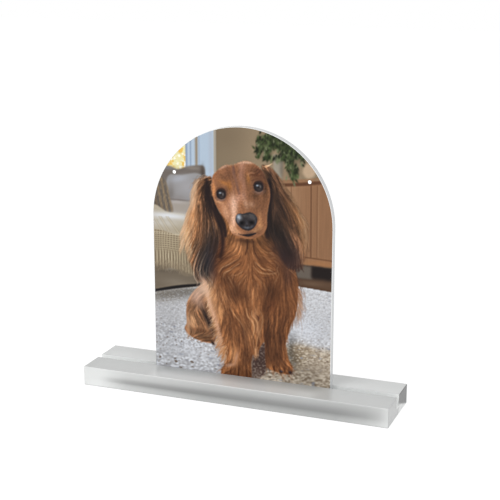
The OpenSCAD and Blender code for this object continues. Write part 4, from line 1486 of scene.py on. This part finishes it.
# %% Move the rim onto the outline
pairs = np.concatenate([quads[:, [i, (i + 1) % 4]] for i in range(4)])
key = np.sort(pairs, 1) @ np.array([len(used), 1])
_, where, count = np.unique(key, return_index=True, return_counts=True)
rim_edges = pairs[where[count == 1]]
rim = np.unique(rim_edges)
at_hole = from_holes(x[rim], z[rim]) < 2 * PRINT_HOLE
on_arc = rim[(z[rim] > ARCH_CENTRE + 0.5 * STEP) & ~at_hole]
on_ring = rim[at_hole]
for part, centre_x, centre_z, radius in ((on_arc, 0, ARCH_CENTRE, PRINT_RADIUS),
        (on_ring, np.sign(x[on_ring]) * HOLE_X, HOLE_Z, PRINT_HOLE)):
    angle = np.arctan2(z[part] - centre_z, x[part] - centre_x)
    x[part] = centre_x + radius * np.cos(angle)
    z[part] = centre_z + radius * np.sin(angle)
print("rim vertices:", len(on_arc), "on the arch", len(on_ring), "around the holes")

# %% [markdown]
# The layer is closed like a real film of ink: painted front, thin walls
# along the rim, and a plain back that needs no fine grid.

# %% Close the picture layer
behind = np.full(len(used), -1)
behind[rim] = len(used) + np.arange(len(rim))
front = np.stack([x, np.full(len(x), print_low[1]), z], 1)
far = front[rim] + (0, print_high[1] + OVERLAP - print_low[1], 0)
walls = np.concatenate([rim_edges[:, ::-1], behind[rim_edges]], 1)
mesh = bpy.data.meshes.new("picture_layer")
mesh.from_pydata(np.concatenate([front, far]), [], np.concatenate([quads, walls]))
work = bmesh.new()
work.from_mesh(mesh)
open_edges = [edge for edge in work.edges if len(edge.link_faces) == 1]
bmesh.ops.triangle_fill(work, use_beauty=True, use_dissolve=False, edges=open_edges, normal=(0, 1, 0))
bmesh.ops.recalc_face_normals(work, faces=work.faces)
print("open edges:", sum(len(edge.link_faces) != 2 for edge in work.edges))
work.to_mesh(mesh)
work.free()
picture_ink = bpy.data.materials.new("picture_ink")
mesh.materials.append(picture_ink)
ink = bpy.data.objects.new("picture_layer", mesh)
bpy.context.collection.objects.link(ink)

# %% [markdown]
# Every vertex looks up its place on the canvas and takes a mixture of the
# four nearest cells. The canvas is sharpened a little first, because this
# reading softens it.

# %% Read the painting off
SHARPEN = 0.6
for channel in range(3):
    canvas[..., channel] += SHARPEN * (canvas[..., channel] - blur(canvas[..., channel], 0.8))
spots = np.empty(len(mesh.vertices) * 3)
mesh.vertices.foreach_get("co", spots)
spots = spots.reshape(-1, 3) / MM
across = spots[:, 0] * PICTURE_WIDTH / (PANEL_WIDTH / MM)
above = (spots[:, 2] - FOOT / MM) * PICTURE_HEIGHT / ((panel_high[2] - FOOT) / MM)
col = ((across - ACROSS[0]) / CELL).clip(0, COLS - 1.001)
row = ((UP[0] - PICTURE_FOOT - above) / CELL).clip(0, ROWS - 1.001)
c = col.astype(int)
r = row.astype(int)
col_part = (col - c)[:, None]
row_part = (row - r)[:, None]
upper = canvas[r, c] * (1 - col_part) + canvas[r, c + 1] * col_part
lower = canvas[r + 1, c] * (1 - col_part) + canvas[r + 1, c + 1] * col_part
shown = ((upper * (1 - row_part) + lower * row_part) / 255).clip(0, 1)
print("read", len(shown), "colours, mean", shown.mean(0).round(2))

# %% [markdown]
# Paint colours are given as a screen shows them, so they are turned into
# amounts of light before they are stored as a colour attribute. A UV map in
# the same picture coordinates goes with it.

# %% Colour the picture layer
light = np.where(shown < 0.04045, shown / 12.92, ((shown + 0.055) / 1.055) ** 2.4)
attribute = mesh.attributes.new("painting", "FLOAT_COLOR", "POINT")
light = np.concatenate([light, np.ones((len(light), 1))], 1).astype(np.float32)
attribute.data.foreach_set("color", light.ravel())
loops = np.empty(len(mesh.loops), dtype=np.int32)
mesh.loops.foreach_get("vertex_index", loops)
flat = np.stack([spots[:, 0] / PICTURE_WIDTH + 0.5, (spots[:, 2] - PICTURE_FOOT) / PICTURE_HEIGHT], 1)
mesh.uv_layers.new(name="picture").data.foreach_set("uv", flat[loops].ravel().astype(np.float32))
print("painted", len(light), "vertices")

# %% [markdown]
# Every made piece rides with its solid's body and stands in for its node.

# %% Hand the pieces over
for made, cad, body, finish in ((bar, "base_bar", "base", "frosted_acrylic"),
        (panel, "arch_panel", "panel", "clear_acrylic"), (white, "white_underprint", "panel", "white_ink"),
        (ink, "picture_print", "panel", "picture_ink")):
    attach(made, body)
    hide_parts(cad)
    print(made.name, "stands for", cad)

# %% [markdown]
# Clear plastic is handled and dusted, so no finish is perfectly even. Two
# shared groups say how: this one adds fine wear to the roughness. A group is
# used instead of a copy in each material, so one change reaches all.


# %% Fine wear
def effect(name, sockets, result, kind="Float"):
    group = bpy.data.node_groups.new(name, "ShaderNodeTree")
    for label, value in sockets:
        socket = group.interface.new_socket(name=label, in_out="INPUT", socket_type="NodeSocketFloat")
        socket.default_value = value
    group.interface.new_socket(name=result, in_out="OUTPUT", socket_type="NodeSocket" + kind)
    return group, node(group, "NodeGroupInput").outputs, node(group, "NodeGroupOutput").inputs[0]


def cloud(tree, given, detail):
    place = node(tree, "ShaderNodeTexCoord")
    made = node(tree, "ShaderNodeTexNoise")
    link(tree, detail, made.inputs["Detail"])
    link(tree, place.outputs["Object"], made.inputs["Vector"])
    link(tree, given["Scale"], made.inputs["Scale"])
    return made.outputs[0]


wear, given, result = effect("fine wear", (("Roughness", 0.1), ("Amount", 0.05), ("Scale", 60)),
    "Roughness")
centred = maths(wear, "SUBTRACT", cloud(wear, given, 4), 0.5)
link(wear, maths(wear, "ADD", given["Roughness"], maths(wear, "MULTIPLY", centred, given["Amount"])),
    result)
print("shared effect:", wear.name)

# %% [markdown]
# The second group gives a faint waviness, which shows only in reflections.

# %% Waviness
waviness, given, result = effect("waviness", (("Scale", 30), ("Amount", 1)), "Height")
link(waviness, maths(waviness, "MULTIPLY", cloud(waviness, given, 1), given["Amount"]), result)
print("shared effect:", waviness.name)

# %% [markdown]
# A block of acrylic carries light along inside itself. Its faces look pale
# towards the ends and darker where the block is deep, which a plain colour
# can't show. Three helpers describe such tones: a ramp with given stops of
# (place, tone), a blend of two tones, and a smooth step from 0 to 1.


# %% Tone helpers
def grey(tone):
    return (tone, tone, tone, 1)


def ramp(tree, factor, *stops):
    made = node(tree, "ShaderNodeValToRGB")
    made.color_ramp.interpolation = "B_SPLINE"
    elements = made.color_ramp.elements
    while len(elements) < len(stops):
        elements.new(0.5)
    for element, (place, tone) in zip(elements, stops):
        element.position = place
    for element, (place, tone) in zip(elements, stops):
        element.color = grey(tone)
    link(tree, factor, made.inputs[0])
    return made.outputs["Color"]


def blend(tree, share, first, second, kind="MIX"):
    """Mixes two tones; the mix node keeps its colours at places 6 and 7 and their mixture at 2."""
    made = node(tree, "ShaderNodeMix", data_type="RGBA", blend_type=kind)
    link(tree, share, made.inputs["Factor"])
    link(tree, first, made.inputs[6])
    link(tree, second, made.inputs[7])
    return made.outputs[2]


def step(tree, value, low, high):
    made = node(tree, "ShaderNodeMapRange", interpolation_type="SMOOTHSTEP")
    link(tree, value, made.inputs["Value"])
    link(tree, low, made.inputs["From Min"])
    link(tree, high, made.inputs["From Max"])
    return made.outputs[0]


print("tone helpers:", ramp.__name__, blend.__name__, step.__name__)

# %% [markdown]
# The bar's colour carries painted light and shade. The tone depends on the
# place on the block and on the side that the face looks to. The long sides
# are painted pale at both ends and have a painted dark band at half height,
# where one looks through the block to its far edge. At the left end the band
# stays dark longest, at the right end the face pales from below.

# %% Tones of the long sides
inner, given, result = effect("light inside", (("Length", 0.2), ("Height", 0.0135), ("Groove", 0.0065)),
    "Color", "Color")
place = node(inner, "ShaderNodeTexCoord")
spot = node(inner, "ShaderNodeSeparateXYZ")
link(inner, place.outputs["Object"], spot.inputs[0])
facing = node(inner, "ShaderNodeSeparateXYZ")
link(inner, place.outputs["Normal"], facing.inputs[0])
along = maths(inner, "ADD", maths(inner, "DIVIDE", spot.outputs["X"], given["Length"]), 0.5)
depth = maths(inner, "SUBTRACT", 1, maths(inner, "DIVIDE", spot.outputs["Z"], given["Height"]))
# Painted shade: a dark band at half height on the long sides.
band = ramp(inner, depth, (0, 0.62), (0.1, 0.5), (0.34, 0.36), (0.56, 0.24), (0.66, 0.27), (0.84, 0.42),
    (1, 0.36))
left_end = ramp(inner, along, (0, 1), (0.055, 1), (0.095, 0.55), (0.15, 0.17), (0.28, 0.08), (0.42, 0),
    (1, 0))
left_end = maths(inner, "POWER", left_end, ramp(inner, depth, (0.36, 0.36), (0.56, 1.4), (0.7, 0.42)))
right_end = ramp(inner, along, (0, 0), (0.84, 0), (0.93, 0.2), (0.97, 0.38), (1, 0.85))
right_end = maths(inner, "POWER", right_end,
    maths(inner, "SUBTRACT", 1.6, maths(inner, "MULTIPLY", depth, 1.15)))
ends = maths(inner, "ADD", left_end, right_end)
# Painted light: the long sides turn pale towards both ends.
long_side = blend(inner, ends, band, grey(0.86))
print("long sides:", len(inner.nodes), "nodes")

# %% [markdown]
# The top is painted a middle grey, and in front of the print it has a painted
# shade close to the panel and is paler towards the edge. The ends are a
# middle grey too, but behind the groove the right one has a painted shade,
# nearly black, because one looks along the block there, away from the light.
# A slanting border divides that from a pale foot.

# %% Tones of the top and the ends
behind_groove = step(inner, spot.outputs["Y"], 0, given["Groove"])
right_back = maths(inner, "MULTIPLY", behind_groove, step(inner, spot.outputs["X"], 0, 0.05))
below_shadow = maths(inner, "SUBTRACT", depth,
    maths(inner, "MULTIPLY", spot.outputs["Y"], 1.22 / BAR_DEPTH))
# Painted shade: the right end nearly black behind the groove, pale below a slanting border.
end_side = blend(inner, right_back, grey(0.5),
    blend(inner, step(inner, below_shadow, 0.34, 0.5), grey(0.02), grey(0.78)))
towards_viewer = maths(inner, "MULTIPLY", spot.outputs["Y"], -2 / BAR_DEPTH)
# Painted shade on the top in front of the print, darkest close to the panel.
before_print = ramp(inner, towards_viewer, (0.1, 0.42), (0.3, 0.44), (0.55, 0.6), (0.75, 0.74), (1, 0.7))
beside_print = step(inner, maths(inner, "ABSOLUTE", spot.outputs["X"]), PANEL_WIDTH * 0.41,
    PANEL_WIDTH * 0.5)
front_top = blend(inner, beside_print, before_print, grey(0.56))
top_side = blend(inner, behind_groove, front_top, grey(0.68))
faces_along = maths(inner, "ABSOLUTE", facing.outputs["Y"])
faces_end = maths(inner, "ABSOLUTE", facing.outputs["X"])
# Each side gets its own painted tone, lighter or darker for how the light falls on it.
tone = blend(inner, step(inner, faces_along, 0.4, 0.9), top_side, long_side)
tone = blend(inner, step(inner, faces_end, 0.4, 0.9), tone, end_side)
print("top and ends:", len(inner.nodes), "nodes")

# %% [markdown]
# The groove's rough saw cut scatters light, and the groove is also painted
# nearly white down to its floor, painted light that keeps the narrow slot
# from sinking into shade. The underside faces the table and gets a painted
# shade. Last comes the faint green tint of thick acrylic.

# %% Tones of the groove and the underside
from_middle = maths(inner, "ABSOLUTE", spot.outputs["Y"])
outside = maths(inner, "MULTIPLY", given["Groove"], 0.52)
inside = maths(inner, "MULTIPLY", given["Groove"], 0.49)
in_groove = maths(inner, "MULTIPLY", step(inner, from_middle, outside, inside),
    step(inner, depth, 0.66, 0.58))
# Painted light in the groove, so the narrow slot shows no shade.
tone = blend(inner, in_groove, tone, grey(0.97))
# Painted shade on the faces that look down.
tone = blend(inner, step(inner, facing.outputs["Z"], -0.2, -0.7), tone, grey(0.1))
link(inner, blend(inner, 1, tone, (0.985, 1.0, 0.99, 1), "MULTIPLY"), result)
print("light inside:", len(inner.nodes), "nodes")

# %% [markdown]
# Each finish is one shader, made alike: roughness from the wear group, bump
# from the waviness group, and plain values for the rest.


# %% Finish helper
def finish_of(material, roughness, amount, scale, bump, bump_scale, **sockets):
    material.use_nodes = True
    tree = material.node_tree
    shader = tree.nodes["Principled BSDF"]
    for socket, value in sockets.items():
        shader.inputs[socket.replace("_", " ")].default_value = value
    worn = node(tree, "ShaderNodeGroup", node_tree=wear)
    for socket, value in (("Roughness", roughness), ("Amount", amount), ("Scale", scale)):
        worn.inputs[socket].default_value = value
    link(tree, worn.outputs[0], shader.inputs["Roughness"])
    wavy = node(tree, "ShaderNodeGroup", node_tree=waviness)
    link(tree, bump_scale, wavy.inputs["Scale"])
    relief = node(tree, "ShaderNodeBump")
    link(tree, bump, relief.inputs["Strength"])
    link(tree, 0.1 * MM, relief.inputs["Distance"])
    link(tree, wavy.outputs[0], relief.inputs["Height"])
    link(tree, relief.outputs[0], shader.inputs["Normal"])
    print("finish:", material.name)
    return tree, shader


print("finish helper:", finish_of.__name__)

# %% [markdown]
# The bar is satin acrylic. Real refraction would need a very long render to
# look like this, so the light and shade inside are painted into its colour by
# its group, and only a tenth of the shader is truly clear.

# %% Bar finish
tree, shader = finish_of(bar_acrylic, 0.22, 0.06, 90, 0.05, 40, Transmission_Weight=0.1, IOR=1.49)
block = node(tree, "ShaderNodeGroup", node_tree=inner)
for socket, value in (("Length", BAR_LENGTH), ("Height", bar_high[2]), ("Groove", GROOVE_WIDTH)):
    block.inputs[socket].default_value = value
link(tree, block.outputs[0], shader.inputs["Base Color"])

# %% [markdown]
# The panel is polished and fully clear. A clear piece would still cast a
# solid shadow, so lamp light is let straight through it.


# %% Panel finish
def clear_to_lamps(tree, shader, tint):
    path = node(tree, "ShaderNodeLightPath")
    clear = node(tree, "ShaderNodeBsdfTransparent")
    link(tree, tint, clear.inputs["Color"])
    mix = node(tree, "ShaderNodeMixShader")
    link(tree, path.outputs["Is Shadow Ray"], mix.inputs[0])
    link(tree, shader.outputs[0], mix.inputs[1])
    link(tree, clear.outputs[0], mix.inputs[2])
    link(tree, mix.outputs[0], tree.nodes["Material Output"].inputs["Surface"])


tree, shader = finish_of(panel_acrylic, 0.03, 0.02, 60, 0.05, 30, Base_Color=(0.97, 0.98, 0.98, 1),
    Transmission_Weight=1.0, IOR=1.49)
clear_to_lamps(tree, shader, (0.92, 0.93, 0.93, 1))

# %% [markdown]
# The cut edge is a pale satin. The drilled walls are rougher, and a weak
# emission gives them a painted glow for the light that runs to them through
# the panel.

# %% Cut edge and holes
finish_of(cut_edge, 0.2, 0.05, 80, 0.02, 60, Base_Color=(0.6, 0.61, 0.62, 1), IOR=1.49)
# The emission is a painted glow on the drilled walls.
finish_of(drilled, 0.5, 0.1, 200, 0.05, 300, Base_Color=grey(0.97), IOR=1.49, Emission_Color=grey(1),
    Emission_Strength=0.3)

# %% [markdown]
# Cured ink has a soft sheen. The white is plain, and the picture takes its
# colour from the painting stored on its vertices.

# %% Ink finishes
finish_of(white_ink, 0.6, 0.1, 300, 0.1, 800, Base_Color=(0.9, 0.9, 0.89, 1))
tree, shader = finish_of(picture_ink, 0.34, 0.08, 400, 0.06, 1500, Specular_IOR_Level=0.12)
painting = node(tree, "ShaderNodeAttribute", attribute_name="painting")
link(tree, painting.outputs["Color"], shader.inputs["Base Color"])

# %% [markdown]
# The photograph has a pure white background with hardly a shadow. Rays that
# look at the background straight on, or through or off the object, see plain
# white; every other ray sees a softer sky, which lights the object evenly.


# %% World
def seen_directly(tree):
    path = node(tree, "ShaderNodeLightPath")
    either = maths(tree, "MAXIMUM", path.outputs["Is Camera Ray"], path.outputs["Is Glossy Ray"])
    return maths(tree, "MAXIMUM", either, path.outputs["Is Transmission Ray"])


def light_source(tree, kind, colour, strength):
    made = node(tree, kind)
    link(tree, colour, made.inputs["Color"])
    link(tree, strength, made.inputs["Strength"])
    return made.outputs[0]


def seen_or_lit(tree, share, lit, seen, output_kind):
    mix = node(tree, "ShaderNodeMixShader")
    for value, socket in zip((share, lit, seen), mix.inputs):
        link(tree, value, socket)
    link(tree, mix.outputs[0], node(tree, output_kind).inputs[0])


world = bpy.data.worlds.new("studio")
world.use_nodes = True
bpy.context.scene.world = world
tree = world.node_tree
tree.nodes.clear()
sky = light_source(tree, "ShaderNodeBackground", grey(1), 0.6)
backdrop = light_source(tree, "ShaderNodeBackground", grey(1), 1)
seen_or_lit(tree, seen_directly(tree), sky, backdrop, "ShaderNodeOutputWorld")
print("world:", world.name)

# %% [markdown]
# The floor is a real surface, so that the object keeps its shadow, but it is
# mostly the same plain white where it is looked at.

# %% Floor
FLOOR_SIZE = 6
bpy.ops.mesh.primitive_plane_add(size=FLOOR_SIZE)
floor = bpy.context.object
floor.name = "floor"
floor_paint = bpy.data.materials.new("floor_paint")
floor_paint.use_nodes = True
tree = floor_paint.node_tree
tree.nodes.clear()
diffuse = node(tree, "ShaderNodeBsdfDiffuse")
link(tree, grey(0.9), diffuse.inputs["Color"])
glow = light_source(tree, "ShaderNodeEmission", grey(1), 1.1)
share = maths(tree, "MULTIPLY", seen_directly(tree), 0.85)
seen_or_lit(tree, share, diffuse.outputs[0], glow, "ShaderNodeOutputMaterial")
floor.data.materials.append(floor_paint)
print("floor", FLOOR_SIZE, "m wide")

# %% [markdown]
# Two large soft lamps, one from each side of the camera, keep the light
# plain and level.


# %% Lamps
def softbox(name, place, aim, size, power):
    lamp = bpy.data.lights.new(name, "AREA")
    lamp.size = size
    lamp.energy = power
    made = bpy.data.objects.new(name, lamp)
    made.location = place
    made.rotation_euler = (Vector(aim) - Vector(place)).to_track_quat("-Z", "Y").to_euler()
    bpy.context.collection.objects.link(made)
    print(name, "at", place)


softbox("key", (-0.5, -0.9, 1.0), (0, 0, 0.08), 0.8, 7)
softbox("fill", (0.9, -0.6, 0.7), (0, 0, 0.08), 0.8, 4)
